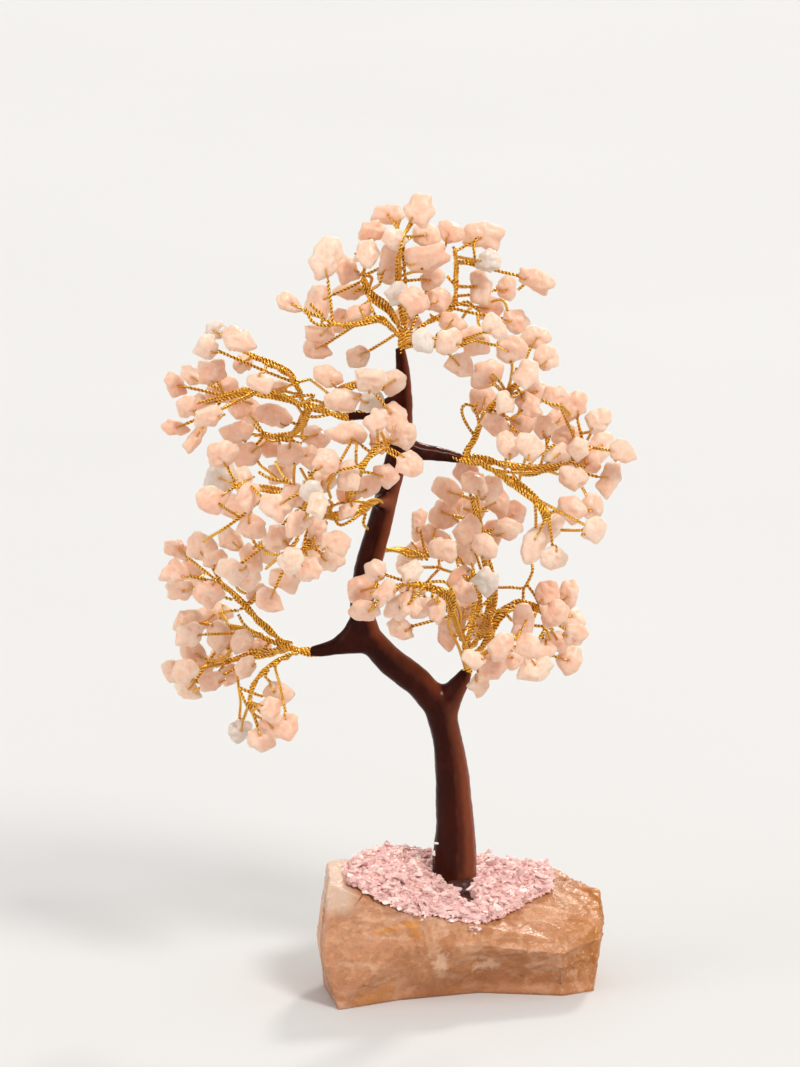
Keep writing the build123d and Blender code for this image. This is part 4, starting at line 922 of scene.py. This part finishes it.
def make_spray(twig_node):
    """One spray: its chips, the twisted pairs that hold them and the stems that they leave."""
    name = twig_node.removesuffix("_twigs")
    seed = sum(ord(letter) for letter in name)
    random.seed(seed)
    twigs = solids_of(twig_node)
    chip_solids = solids_of(name + "_chips")
    chips = [QuartzChip(solid, seed + seed_step * number) for number, solid in enumerate(chip_solids)]
    routes = stem_route(twigs)
    paths = [curve_through(route, fine_step) for route, _ in routes]
    wires, stones = Builder(), Builder()
    for path, (_, radii) in zip(paths, routes):
        add_stem(wires, path, radii)
    mouths = dict(
        add_twig(wires, points, routes, paths, chips) for points, _, _ in twigs if len(points) == twig_corners
    )
    for number, chip in enumerate(chips):
        tint = 1.0 if is_clear(chip.middle) else random.uniform(*chip_tints)
        stones.add(chip.mesh(mouths.get(number, [])), ball_faces, tint)
    wires.piece(name + "_wires", "brass_wire", twig_node)
    stones.piece(name + "_quartz", "rose_quartz_chip", name + "_chips")


# A bundle is a rope of thick strands with a few twisted pairs wound loosely round it
bundle_strands = 3
strand_share = 0.48
bundle_pitch = 4.4 * MM
loose_pairs = 2
loose_pitch = 26.0 * MM
# The loose pairs open over this length, from and to these shares of the bundle's radius
opening_length = 3 * MM
opening_shares = (0.3, 1.05)
shortest_bare = 20


# Twisted pairs that the photograph shows apart from their bundle or over the chips
loose_px = {
    "wire_bundle_right": [
        [(462, 457), (467, 447), (475, 440), (478, 430), (477, 420), (474, 411), (477, 404)],
        [(464, 458), (468, 446), (474, 439), (468, 429), (463, 420), (461, 411), (465, 406), (473, 408)],
        [(505, 395), (509, 381), (510, 368), (507, 360)], [(505, 395), (498, 384), (491, 376)],
        [(505, 396), (515, 389), (526, 380)], [(505, 396), (515, 395), (523, 394)],
        [(505, 399), (494, 388), (489, 386)], [(499, 420), (496, 407), (505, 396)],
        [(500, 421), (506, 407), (509, 399)], [(499, 420), (488, 416), (481, 414)],
        [(502, 421), (512, 419), (520, 412)], [(503, 423), (513, 431), (519, 437), (530, 444)],
        [(499, 423), (502, 433), (508, 441)],
        [(469, 459), (478, 462), (492, 470), (510, 473), (529, 473), (540, 469), (557, 465),
         (569, 463), (579, 455), (590, 449)],
        [(472, 456), (489, 459), (503, 466), (523, 468), (534, 459), (543, 452), (554, 445)],
        [(540, 469), (548, 462), (558, 454)], [(529, 473), (543, 471), (557, 475)],
        [(512, 475), (523, 489), (533, 501), (540, 511), (545, 520)],
        [(533, 503), (534, 515), (534, 528)], [(534, 503), (540, 514), (543, 524)],
        [(540, 402), (548, 406), (559, 408), (568, 416)], [(580, 434), (589, 432), (597, 426)],
        [(569, 463), (578, 466), (587, 468)], [(580, 486), (585, 496), (588, 510)],
        [(559, 530), (579, 530), (587, 527)],
    ],
    "wire_bundle_middle_left": [
        [(374, 505), (357, 502), (340, 504), (323, 511), (306, 511)],
        [(311, 501), (324, 487), (337, 470), (350, 448), (353, 439)],
        [(332, 499), (330, 487), (340, 473), (357, 468), (373, 458), (387, 449)],
        [(306, 511), (302, 497), (296, 484), (297, 465)], [(306, 511), (300, 491), (288, 480), (278, 463)],
        [(306, 511), (292, 503), (278, 498), (267, 499), (254, 487)], [(306, 511), (312, 491), (303, 470)],
        [(306, 511), (311, 523), (307, 539), (308, 556)], [(300, 510), (285, 525), (292, 530)],
        [(267, 499), (254, 508), (242, 518), (226, 529), (214, 536), (206, 541)],
        [(242, 517), (231, 511), (223, 504)],
        [(254, 454), (261, 465), (271, 473), (283, 482), (299, 488)], [(261, 473), (274, 480), (288, 482)],
        [(300, 539), (285, 553), (266, 553)], [(300, 539), (292, 553), (285, 568)],
        [(296, 545), (282, 556), (268, 568)],
        [(366, 514), (364, 524), (368, 529)], [(335, 518), (341, 525), (352, 521), (362, 514)],
        [(387, 449), (384, 440), (380, 432)], [(387, 449), (392, 440), (394, 430)],
        [(387, 449), (398, 455), (405, 461)], [(357, 468), (357, 455), (358, 444)],
    ],
    "wire_bundle_lower_left": [
        [(293, 642), (281, 638), (270, 626), (258, 616), (247, 606), (235, 593), (228, 587), (219, 577)],
        [(285, 643), (270, 639), (258, 632), (247, 627), (235, 625), (219, 623)],
        [(281, 648), (270, 649), (256, 649), (246, 649), (234, 649), (226, 656), (219, 660), (208, 660)],
        [(246, 649), (241, 664), (239, 676), (240, 686), (242, 700), (241, 717)],
        [(241, 686), (253, 691), (264, 695)], [(241, 687), (247, 701), (253, 710), (259, 723)],
        [(253, 710), (263, 701)], [(253, 711), (263, 717)],
        [(226, 657), (224, 665), (217, 676), (213, 685), (201, 687), (193, 691)],
        [(212, 684), (199, 682), (184, 678)], [(240, 610), (232, 610), (220, 613)],
        [(240, 614), (245, 623), (253, 630), (264, 634)], [(241, 609), (256, 600), (261, 592)],
        [(247, 593), (240, 589), (235, 579)], [(234, 599), (225, 596), (223, 591), (215, 580)],
    ],
    "wire_bundle_upper_left": [
        [(345, 418), (330, 408), (314, 402), (300, 404), (284, 396), (268, 394)],
        [(300, 432), (303, 416), (293, 402), (281, 395), (264, 396), (247, 390)],
        [(333, 415), (319, 418), (306, 420), (302, 439)], [(288, 399), (306, 397), (315, 397), (306, 403)],
        [(302, 444), (281, 440), (267, 435), (255, 436)], [(254, 425), (262, 432), (278, 437)],
        [(316, 411), (328, 401), (342, 389), (366, 382)], [(281, 390), (297, 385), (311, 381)],
        [(311, 381), (323, 390), (330, 396)],
    ],
    "wire_bundle_lower_right": [
        [(465, 668), (458, 646), (449, 629), (448, 620), (453, 608), (454, 596), (449, 586), (443, 581),
         (428, 581)],
        [(454, 596), (448, 590), (438, 589), (426, 589)],
        [(464, 664), (463, 649), (469, 629), (471, 618), (481, 606), (491, 596), (494, 585), (491, 566),
         (486, 553), (491, 541)],
        [(459, 636), (468, 623), (471, 613), (473, 600), (477, 586), (475, 576), (471, 563)],
        [(471, 620), (481, 615), (494, 610), (506, 610), (515, 610)], [(494, 611), (506, 615), (511, 620)],
        [(492, 606), (491, 623), (490, 636), (491, 662)],
        [(473, 634), (481, 631), (491, 630), (494, 643), (495, 652)],
        [(494, 587), (509, 587), (522, 588), (526, 584), (532, 571), (531, 560)],
        [(523, 588), (523, 600), (526, 608)],
        [(527, 585), (534, 595), (538, 605), (534, 616), (532, 624), (544, 626), (552, 629)],
        [(537, 638), (544, 629), (549, 639)],
    ],
    "wire_bundle_middle_right": [
        [(401, 552), (411, 557), (426, 556), (439, 556), (456, 556), (464, 566), (473, 578)],
        [(439, 556), (440, 567), (449, 571), (463, 575), (476, 580)],
        [(439, 569), (431, 577), (425, 583), (406, 588), (390, 586), (380, 587)],
        [(421, 567), (433, 567), (440, 567)],
        [(425, 585), (415, 595), (406, 606)], [(428, 580), (433, 588), (432, 596), (439, 601)],
        [(398, 586), (390, 595), (376, 601), (371, 610)], [(370, 592), (380, 589), (376, 581)],
        [(456, 556), (459, 570), (463, 585)], [(463, 563), (468, 573), (467, 586)],
    ],
    "wire_bundle_top": [
        [(453, 250), (455, 256), (456, 263), (455, 268), (454, 285), (456, 290), (454, 300), (451, 306)],
        [(477, 240), (473, 246), (473, 252), (474, 260), (472, 263), (465, 264), (456, 264)],
        [(456, 266), (466, 266), (476, 265), (481, 268)], [(456, 288), (463, 289), (476, 290)],
        [(447, 279), (452, 285), (455, 289)], [(450, 307), (458, 307), (466, 304), (473, 309), (479, 314)],
        [(447, 309), (453, 324)], [(461, 321), (466, 314), (471, 310)], [(477, 316), (478, 326), (482, 338)],
        [(490, 304), (500, 302), (505, 308), (506, 313)], [(524, 286), (517, 292)],
        [(430, 317), (441, 324), (451, 326)], [(451, 329), (442, 333), (436, 338)],
        [(415, 219), (411, 226), (406, 236), (402, 247), (400, 258), (400, 283)],
        [(400, 225), (398, 233), (400, 245)], [(400, 280), (409, 277), (422, 273)],
        [(400, 275), (407, 266), (411, 260)],
        [(403, 248), (408, 244), (413, 241)],
        [(347, 274), (355, 277), (364, 279), (372, 281), (370, 290), (370, 305), (375, 317), (385, 327)],
        [(354, 296), (361, 292), (370, 295)], [(383, 276), (380, 287), (373, 292)],
        [(307, 312), (313, 324), (323, 329), (336, 328)], [(357, 328), (368, 327), (376, 323), (386, 328)],
        [(312, 308), (318, 314), (323, 318), (323, 328)],
    ],
}
# A loose pair takes its depth from the stems and chips this near to it in the photograph; it stands
# before them, but never further than this, and its depth changes no more than this along its way
stem_look_step = 1.0 * MM
stem_near_px = 8
chip_near_px = 11
most_forward = 12.0 * MM
clear_of_chip = 0.4 * MM
end_sink = 1.8 * MM
steepest = 1.2


def seen_stems():
    """Where every stem and bundle shows in the photograph, and its depth."""
    routes = [route for node in bundle_nodes + twig_nodes for route, _ in stem_route(solids_of(node))]
    points = np.vstack([curve_through(route, stem_look_step) for route in routes])
    return np.array([(*photo_px(point), point[1]) for point in points])


def seen_chips():
    """Where every chip shows in the photograph, and the depth of its front."""
    solids = [solid for node in chip_nodes for solid in solids_of(node)]
    return np.array([(*photo_px(middle), points[:, 1].min()) for points, middle, planes in solids])


def depth_over(stems, chips, x, y):
    """How deep the stem lies at this place, and a wire there: over its chips, or along the stem."""
    gaps = np.hypot(stems[:, 0] - x, stems[:, 1] - y)
    stem = stems[gaps < max(stem_near_px, gaps.min() + 0.1), 2].min()
    over = chips[np.hypot(chips[:, 0] - x, chips[:, 1] - y) < chip_near_px, 2]
    front = min(over.min() - clear_of_chip, stem) if len(over) else stem
    return stem, max(front, stem - most_forward)


def add_loose(builder, stems, chips, places):
    """A twisted pair through places in the photograph; it starts on the stem and ends in a chip there."""
    points = []
    depths = [depth_over(stems, chips, x, y) for x, y in places]
    fronts = [front for _, front in depths]
    for number, (x, y) in enumerate(places):
        depth = min(fronts[max(number - 1, 0):number + 2])
        if number == 0:
            depth = depths[0][0]
        else:
            if number == len(places) - 1:
                depth = fronts[-1] + end_sink
            change = steepest * math.dist(places[number - 1], places[number]) * metre_per_px
            depth = min(max(depth, points[-1][1] - change), points[-1][1] + change)
        rise = (ground_y_px - y) * metre_per_px - depth * math.sin(view_tilt)
        points.append(((x - centre_x_px) * metre_per_px, depth, rise / math.cos(view_tilt)))
    add_pair(builder, curve_through(points, fine_step))


# Bundles whose first stretch the resin covers too, how long that is, and how thick the resin is there
coated_starts = {
    "wire_bundle_lower_left": 7.0 * MM, "wire_bundle_right": 5.0 * MM, "wire_bundle_upper_left": 6.0 * MM,
}
coat_cover = 0.20 * MM


def make_bundle(node, stems, chips):
    """A thick bundle of twisted wire, from where it leaves the coat."""
    random.seed(len(node))
    wires = Builder()
    for route, radii in stem_route(solids_of(node)):
        path = curve_through(route, fine_step)
        radius = blended(radii, path)
        spread = radius * (1 - strand_share)
        thickness = radius * strand_share
        add_rope(wires, path, bundle_strands, spread, thickness, bundle_pitch, sides=strand_sides + 2)
        covered = int(coated_starts.get(node, 0) / fine_step)
        if len(path) > covered + shortest_bare:
            opening = np.clip(np.arange(len(path) - covered) * fine_step / opening_length, *opening_shares)
            add_cable(wires, path[covered:], loose_pairs, radius[covered:] * opening, loose_pitch)
    for places in loose_px.get(node, []):
        add_loose(wires, stems, chips, places)
    wires.piece(node + "_strands", "brass_wire", node)


# Trunk
def remeshed(node_names, voxel, smooth_steps, lumps=()):
    """A fine even mesh round the given CAD nodes and round lumps, each a middle and a radius."""
    bm = bmesh.new()
    for middle, radius in lumps:
        bmesh.ops.create_icosphere(bm, subdivisions=2, radius=radius, matrix=Matrix.Translation(middle))
    for name in node_names:
        bm.from_mesh(nodes[name].data)
    bmesh.ops.remove_doubles(bm, verts=bm.verts, dist=corner_gap)
    mesh = bpy.data.meshes.new("remesh_source")
    bm.to_mesh(mesh)
    bm.free()
    source = add_object("remesh_source", mesh)
    remesh = source.modifiers.new("remesh", "REMESH")
    remesh.mode = "VOXEL"
    remesh.voxel_size = voxel
    smooth = source.modifiers.new("smooth", "SMOOTH")
    smooth.factor = 0.5
    smooth.iterations = smooth_steps
    graph = bpy.context.evaluated_depsgraph_get()
    result = bpy.data.meshes.new_from_object(source.evaluated_get(graph))
    bpy.data.objects.remove(source)
    vertices, normals = rows_of(result.vertices, "co"), rows_of(result.vertices, "normal")
    faces = [list(polygon.vertices) for polygon in result.polygons]
    bpy.data.meshes.remove(result)
    return vertices, normals, faces


def relaxed(vertices, faces, lumps, reach, steps):
    """Vertices drawn toward the middle of their neighbours, the more the closer they are to a lump."""
    shares = np.zeros(len(vertices))
    for middle, _ in lumps:
        gaps = np.linalg.norm(vertices - np.array(middle), axis=1)
        shares = np.maximum(shares, np.exp(-((gaps / reach) ** 2)))
    pairs = {tuple(sorted(pair)) for face in faces for pair in zip(face, face[1:] + face[:1])}
    pairs = np.array(sorted(pairs))
    starts, ends = np.concatenate([pairs, pairs[:, ::-1]]).T
    counts = np.bincount(starts, minlength=len(vertices))[:, None]
    for _ in range(steps):
        sums = np.stack(
            [np.bincount(starts, vertices[ends, axis], len(vertices)) for axis in range(3)], axis=1
        )
        vertices = vertices + (sums / counts - vertices) * 0.5 * shares[:, None]
    return vertices


# Saddles of resin where the trunk forks, and how wide the forks are smoothed
saddles = [
    ((-0.0372, 0, 0.1190), 3.0 * MM), ((-0.0400, 0, 0.1175), 2.4 * MM), ((-0.0362, 0, 0.1222), 2.6 * MM),
    ((-0.0249, -0.0045, 0.1645), 2.2 * MM), ((-0.0075, 0, 0.0985), 3.4 * MM),
    ((-0.0035, 0, 0.0950), 3.6 * MM), ((-0.0010, 0, 0.0995), 2.8 * MM),
]
fork_reach = 9.0 * MM
fork_steps = 60
trunk_voxel = 0.5 * MM
trunk_smooth_steps = 22
# The resin stands this far off the solid, in millimetres, with broad ripples, longer upward, and fine ones
trunk_fill = 0.14
broad_ripple, broad_scale = 0.26, (130, 130, 60)
fine_ripple, fine_scale = 0.10, 420


def coated_lumps():
    """Lumps of resin that follow the strands at the start of a bundle."""
    lumps = []
    for node, length in coated_starts.items():
        for route, radii in stem_route(solids_of(node)):
            path = curve_through(route, fine_step)[: int(length / fine_step)]
            for centres in helices(path, bundle_strands, radii[0] * (1 - strand_share), bundle_pitch, 0.0):
                lumps += [(centre, radii[0] * strand_share + coat_cover) for centre in centres[::3]]
    return lumps


def make_trunk():
    lumps = saddles + coated_lumps()
    vertices, normals, faces = remeshed(["trunk_coat", "trunk_core"], trunk_voxel, trunk_smooth_steps, lumps)
    vertices = relaxed(vertices, faces, saddles, fork_reach, fork_steps)
    ripple = np.array([
        trunk_fill + broad_ripple * noise.noise(Vector(point * broad_scale))
        + fine_ripple * noise.noise(Vector(point * fine_scale))
        for point in vertices
    ])
    vertices = vertices + normals * (ripple * MM)[:, None]
    make_piece("trunk", vertices, faces, "brown_resin", "trunk_coat")


# Base: how one cell's number is drawn from its middle, for its slope and for its tone
slope_scale, tone_scale = 7.7, 9.1


def facet_step(place):
    """Height of a surface that breaks into tilted flats, one to a cell."""
    centre = noise.voronoi(place)[1][0]
    return noise.noise_vector(centre * slope_scale).dot(place - centre)


def facet_tint(place):
    """A tone that is even over each cell."""
    return noise.noise(noise.voronoi(place)[1][0] * tone_scale)


stone_voxel = 0.6 * MM
# Ledges on the stone's front, as the edge's two ends along and up the stone, and how far the rock below
# is set back in millimetres; they lie in front of a depth, and their edges waver and are a little soft
ledges = [
    ((0.004, 0.0145), (0.048, 0.0175), 1.1), ((0.012, 0.0085), (0.044, 0.0105), 1.0),
    ((-0.040, 0.0300), (-0.014, 0.0235), 0.5),
]
ledge_front = -0.004
ledge_waver, ledge_scale = 0.0022, 130
ledge_softness = 0.0007
# Where along the stone its broken, glittering end begins and where it is fully rough
end_start, end_full = 0.030, 0.042
# The stone's relief in millimetres: slow swells, flats from large to fine, and those of the rough end,
# each with its scale, the middle flats stronger in patches; all of it sinks in by a part, and fades out
# between two heights over the ground
swell, swell_scale = 0.7, 40
large_flats, large_scale = 1.3, 70
middle_flats, middle_scale = 0.75, 2.7
patch_low, patch, patch_scale = 0.5, 1.2, 30
fine_flats, fine_flat_scale = 0.22, 330
end_flats, end_scale = 0.9, 260
bend, bend_scale = 0.5, 50
# The flats' tints, drawn at random, which the stone's material turns into varying colour and painted light
# and shade on the flats
large_tint, small_tint, small_tint_scale = 0.45, 0.35, 7
sink = 0.45
keep_from, keep_full = 0.2 * MM, 3.5 * MM


def ledge_depth(point):
    depth = 0.0
    if point[1] > ledge_front:
        return depth
    for (x0, z0), (x1, z1), step in ledges:
        if x0 < point[0] < x1:
            share = (point[0] - x0) / (x1 - x0)
            edge = z0 + (z1 - z0) * share + ledge_waver * noise.noise(Vector((point[0] * ledge_scale, 0, 0)))
            below = float(smooth_step(0, ledge_softness, edge - point[2]))
            depth += step * below * math.sin(math.pi * share) ** 0.4
    return depth


def make_stone():
    vertices, normals, faces = remeshed(["base_stone"], stone_voxel, 1)
    rough = np.zeros(len(vertices))
    tints = np.zeros(len(vertices))
    for number, point in enumerate(vertices):
        place = Vector(point)
        bent = place * large_scale + noise.noise_vector(place * bend_scale) * bend
        middle = bent * middle_scale
        small = facet_tint(middle) + facet_tint(bent * small_tint_scale)
        tints[number] = 0.5 + large_tint * facet_tint(bent) + small_tint * small
        patches = patch_low + patch * max(noise.noise(place * patch_scale), 0)
        rough[number] = (
            swell * noise.noise(place * swell_scale)
            + large_flats * facet_step(bent)
            + middle_flats * facet_step(middle) * patches
            + fine_flats * facet_step(place * fine_flat_scale + bent)
            + end_flats * facet_step(place * end_scale) * float(smooth_step(end_start, end_full, point[0]))
            - ledge_depth(point)
        )
    keep = smooth_step(keep_from, keep_full, vertices[:, 2])
    vertices = vertices + normals * ((rough - sink) * keep * MM)[:, None]
    vertices[:, 2] = np.maximum(vertices[:, 2], 0)
    tints = np.clip(tints, 0, 1)
    make_piece("stone", vertices, faces, "rough_rose_quartz", "base_stone", tints=tints)


# Lumps of glue that creep up the front of the trunk's foot, and how far they are smoothed
foot_lump = 2.2 * MM
foot_glue = [(place, foot_lump) for place in (
    (-0.0052, -0.0044, 0.0362), (-0.0026, -0.0060, 0.0356), (0.0004, -0.0062, 0.0354),
    (0.0032, -0.0052, 0.0354), (-0.0030, -0.0078, 0.0338), (0.0010, -0.0080, 0.0338),
)]
foot_reach = 8.0 * MM
foot_steps = 30
glue_voxel = 0.6 * MM
glue_smooth_steps = 5
glue_lump, glue_scale = 0.45 * MM, 300


def make_glue():
    vertices, normals, faces = remeshed(["glue_bed"], glue_voxel, glue_smooth_steps, foot_glue)
    vertices = relaxed(vertices, faces, foot_glue, foot_reach, foot_steps)
    lumps = np.array([noise.noise(Vector(point) * glue_scale) for point in vertices])
    make_piece("glue", vertices + normals * (lumps * glue_lump)[:, None], faces, "set_glue", "glue_bed")


# Crushed quartz: the crust's mesh, the shapes of bits, how many bits lie on it, how big and how flat
crust_voxel = 0.45 * MM
shape_count = 50
shape_corners = 9
gravel_count = 1200
gravel_size = 1.55 * MM
smallest_side = 1e-7
lie_flat = 0.55
bit_turn = 6.3
# A bit's width and height as shares of its length, how far its corners stand out, its size as a share
# of the full one, the factors of which one makes it large, and how far it stands off what it lies on
bit_widths, bit_heights, bit_corners = (0.6, 1.0), (0.35, 0.65), (0.75, 1.1)
bit_sizes, bit_factors, strewn_sizes = (0.5, 1.0), (1.0, 1.0, 1.7), (0.5, 1.2)
bit_stands_off = (-0.2, 0.5)
# Bits past the rim: how far they spread, in tongues, and how far from the stone's top they still lie on it
rim_count = 800
rim_spread, tongue_scale = 3.2 * MM, 160
on_stone = 5 * MM
look_from = 0.02
# The gap in the gravel before the trunk's foot, where bare glue shows, and two stray chips on the trunk
gap_top_px, gap_low_px = (447, 864), (469, 903)
gap_top_width_px, gap_low_width_px = 11, 4
gap_waver_px, gap_scale = 4.0, 420
gap_bit_share = 0.25
gap_front = -0.003
gap_sink = 0.9 * MM
stray_bits = [((-0.0085, -0.0034, 0.0482), 1.3 * MM), ((-0.0090, -0.0034, 0.0447), 1.2 * MM)]
# How high the quartz is heaped over the glue, in millimetres, how much that wavers, and two heaps, each
# with its middle, its spread and its height
heap_base, heap_waver, heap_scale = 1.3, 1.1, 90
heaps = [((-0.025, 0.010), (0.016, 0.012), 1.6), ((0.006, -0.006), (0.007, 0.008), 1.4)]
# The crust's flats and, on its sides, its lobes, in millimetres, each coarse and fine with its scale
coarse_flats, coarse_scale, fine_crust, crust_scale = 1.30, 0.42, 0.85, 520
crust_bend, crust_bend_scale = 0.6, 240
coarse_lobes, coarse_lobe_scale, fine_lobes, fine_lobe_scale = 3.2, 150, 1.4, 420


def broken_shape():
    """A broken bit of about unit size: the hull of a few points thrown on a ball."""
    bm = bmesh.new()
    stretch = Vector((1.0, random.uniform(*bit_widths), random.uniform(*bit_heights)))
    for _ in range(shape_corners):
        direction = Vector([random.gauss(0, 1) for _ in range(3)]).normalized()
        bm.verts.new(direction * stretch * random.uniform(*bit_corners))
    hull = bmesh.ops.convex_hull(bm, input=bm.verts)
    unused = hull["geom_interior"] + hull["geom_unused"]
    loose = {item for item in unused if isinstance(item, bmesh.types.BMVert)}
    bmesh.ops.delete(bm, geom=list(loose), context="VERTS")
    bm.verts.index_update()
    return arrays_of(bm)


def add_bit(bits, shapes, middle, size, tint):
    vertices, faces = random.choice(shapes)
    turn = Quaternion((0, 0, 1), random.random() * bit_turn)
    axis = Vector((random.gauss(0, 1), random.gauss(0, 1), 0)).normalized()
    tilt = Quaternion(axis, random.gauss(0, lie_flat))
    bits.add(vertices @ np.array((turn @ tilt).to_matrix()) * size + np.array(middle), faces, tint)


def in_gap(point):
    spot = np.array(photo_px(point))
    top, low = np.array(gap_top_px), np.array(gap_low_px)
    share = min(max((spot - top) @ (low - top) / ((low - top) @ (low - top)), 0), 1)
    width = gap_top_width_px + (gap_low_width_px - gap_top_width_px) * share
    width += gap_waver_px * noise.noise(Vector(point) * gap_scale)
    return point[1] < gap_front and np.linalg.norm(spot - top - (low - top) * share) < width


def heap_height(point):
    """How far the crushed quartz is heaped over the glue, higher at the back left and beside the trunk."""
    x, y = point[0], point[1]
    heap = heap_base + heap_waver * noise.noise(Vector((x * heap_scale, y * heap_scale, 3.0)))
    for (middle_x, middle_y), (spread_x, spread_y), height in heaps:
        heap += height * math.exp(-(((x - middle_x) / spread_x) ** 2 + ((y - middle_y) / spread_y) ** 2))
    return heap * MM


def add_crust(bits):
    """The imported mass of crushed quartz: the glue bed's top, heaped up and broken into small flats."""
    vertices, normals, faces = remeshed(["glue_bed"], crust_voxel, 1)
    moved = np.empty_like(vertices)
    tints = np.empty(len(vertices))
    for number, (point, normal) in enumerate(zip(vertices, normals)):
        bent = noise.noise_vector(Vector(point) * crust_bend_scale) * crust_bend
        place = Vector(point) * crust_scale + bent
        upward = max(normal[2], 0.0)
        lift = -gap_sink
        if not in_gap(point):
            flat = fine_crust * facet_step(place) + coarse_flats * facet_step(place * coarse_scale)
            lobe = coarse_lobes * noise.noise(Vector(point) * coarse_lobe_scale)
            lobe += fine_lobes * noise.noise(Vector(point) * fine_lobe_scale)
            lift = heap_height(point) * upward + (flat + lobe * (1 - upward)) * MM
        moved[number] = point + np.array((normal[0], normal[1], upward)) * lift
        tints[number] = 0.45 + 0.9 * facet_tint(place)
    bits.add(moved, faces, tints)


def add_heap(bits, shapes, tops):
    """Bits heaped over the crust, few in the gap."""
    areas = [area for area, _, _ in tops]
    for _ in range(gravel_count):
        _, (a, b, c), normal = random.choices(tops, areas)[0]
        u, v = random.random(), random.random()
        if u + v > 1:
            u, v = 1 - u, 1 - v
        spot = a + (b - a) * u + (c - a) * v
        if in_gap(spot) and random.random() > gap_bit_share:
            continue
        size = gravel_size * random.uniform(*bit_sizes) * random.choice(bit_factors)
        middle = spot + normal * heap_height(spot)
        middle = middle + normal * size * random.uniform(*bit_stands_off)
        add_bit(bits, shapes, middle, size, random.random())


def add_strewn(bits, shapes, rim):
    """Bits strewn past the rim of the glue over the stone."""
    stone = nodes["base_stone"].data
    stone_tree = BVHTree.FromPolygons(
        [vertex.co for vertex in stone.vertices], [polygon.vertices[:] for polygon in stone.polygons]
    )
    areas = [area for area, _, _ in rim]
    for _ in range(rim_count):
        _, (a, b, c), normal = random.choices(rim, areas)[0]
        first, second = sorted((random.random(), random.random()))
        spot = a * first + b * (second - first) + c * (1 - second)
        size = gravel_size * random.uniform(*strewn_sizes)
        lobe = max(noise.noise(spot * tongue_scale) + 0.25, 0)
        spot = spot + normal * rim_spread * random.random() * lobe
        ground = stone_tree.ray_cast(spot + Vector((0, 0, look_from)), Vector((0, 0, -1)))[0]
        if ground is not None and abs(ground.z - spot.z) < on_stone:
            spot.z = max(ground.z, min(spot.z, ground.z + size * 0.5))
        add_bit(bits, shapes, spot, size, random.random())


def make_gravel():
    """Crushed quartz: a packed crust, bits heaped over it, and bits strewn past its rim over the stone."""
    random.seed(23)
    shapes = [broken_shape() for _ in range(shape_count)]
    mesh = nodes["glue_bed"].data
    mesh.calc_loop_triangles()
    tops, rim = [], []
    for triangle in mesh.loop_triangles:
        corners = [mesh.vertices[corner].co.copy() for corner in triangle.vertices]
        side = (triangle.area, corners, triangle.normal.copy())
        if triangle.normal.z > 0.5:
            tops.append(side)
        elif triangle.normal.z > -0.5 and triangle.area > smallest_side:
            rim.append(side)
    bits = Builder()
    add_crust(bits)
    add_heap(bits, shapes, tops)
    add_strewn(bits, shapes, rim)
    for middle, size in stray_bits:
        add_bit(bits, shapes, middle, size, 1.0)
    bits.piece("crushed_quartz", "crushed_quartz", "gravel", smooth=False)


def make_floor():
    mesh = bpy.data.meshes.new("floor")
    turns = ((-1, -1), (1, -1), (1, 1), (-1, 1))
    mesh.from_pydata([(x * floor_reach, y * floor_reach, 0) for x, y in turns], [], [(0, 1, 2, 3)])
    mesh.materials.append(floor_material())
    floor = add_object("floor", mesh)


def main():
    bpy.context.scene.view_settings.view_transform = "Standard"
    make_camera()
    make_suns()
    make_room()
    make_floor()
    core = nodes["trunk_core"].data
    core.materials.clear()
    core.materials.append(materials["brass_wire"])
    make_stone()
    make_glue()
    make_gravel()
    make_trunk()
    stems, chips = seen_stems(), seen_chips()
    for node in bundle_nodes:
        make_bundle(node, stems, chips)
    for node in twig_nodes:
        make_spray(node)


main()
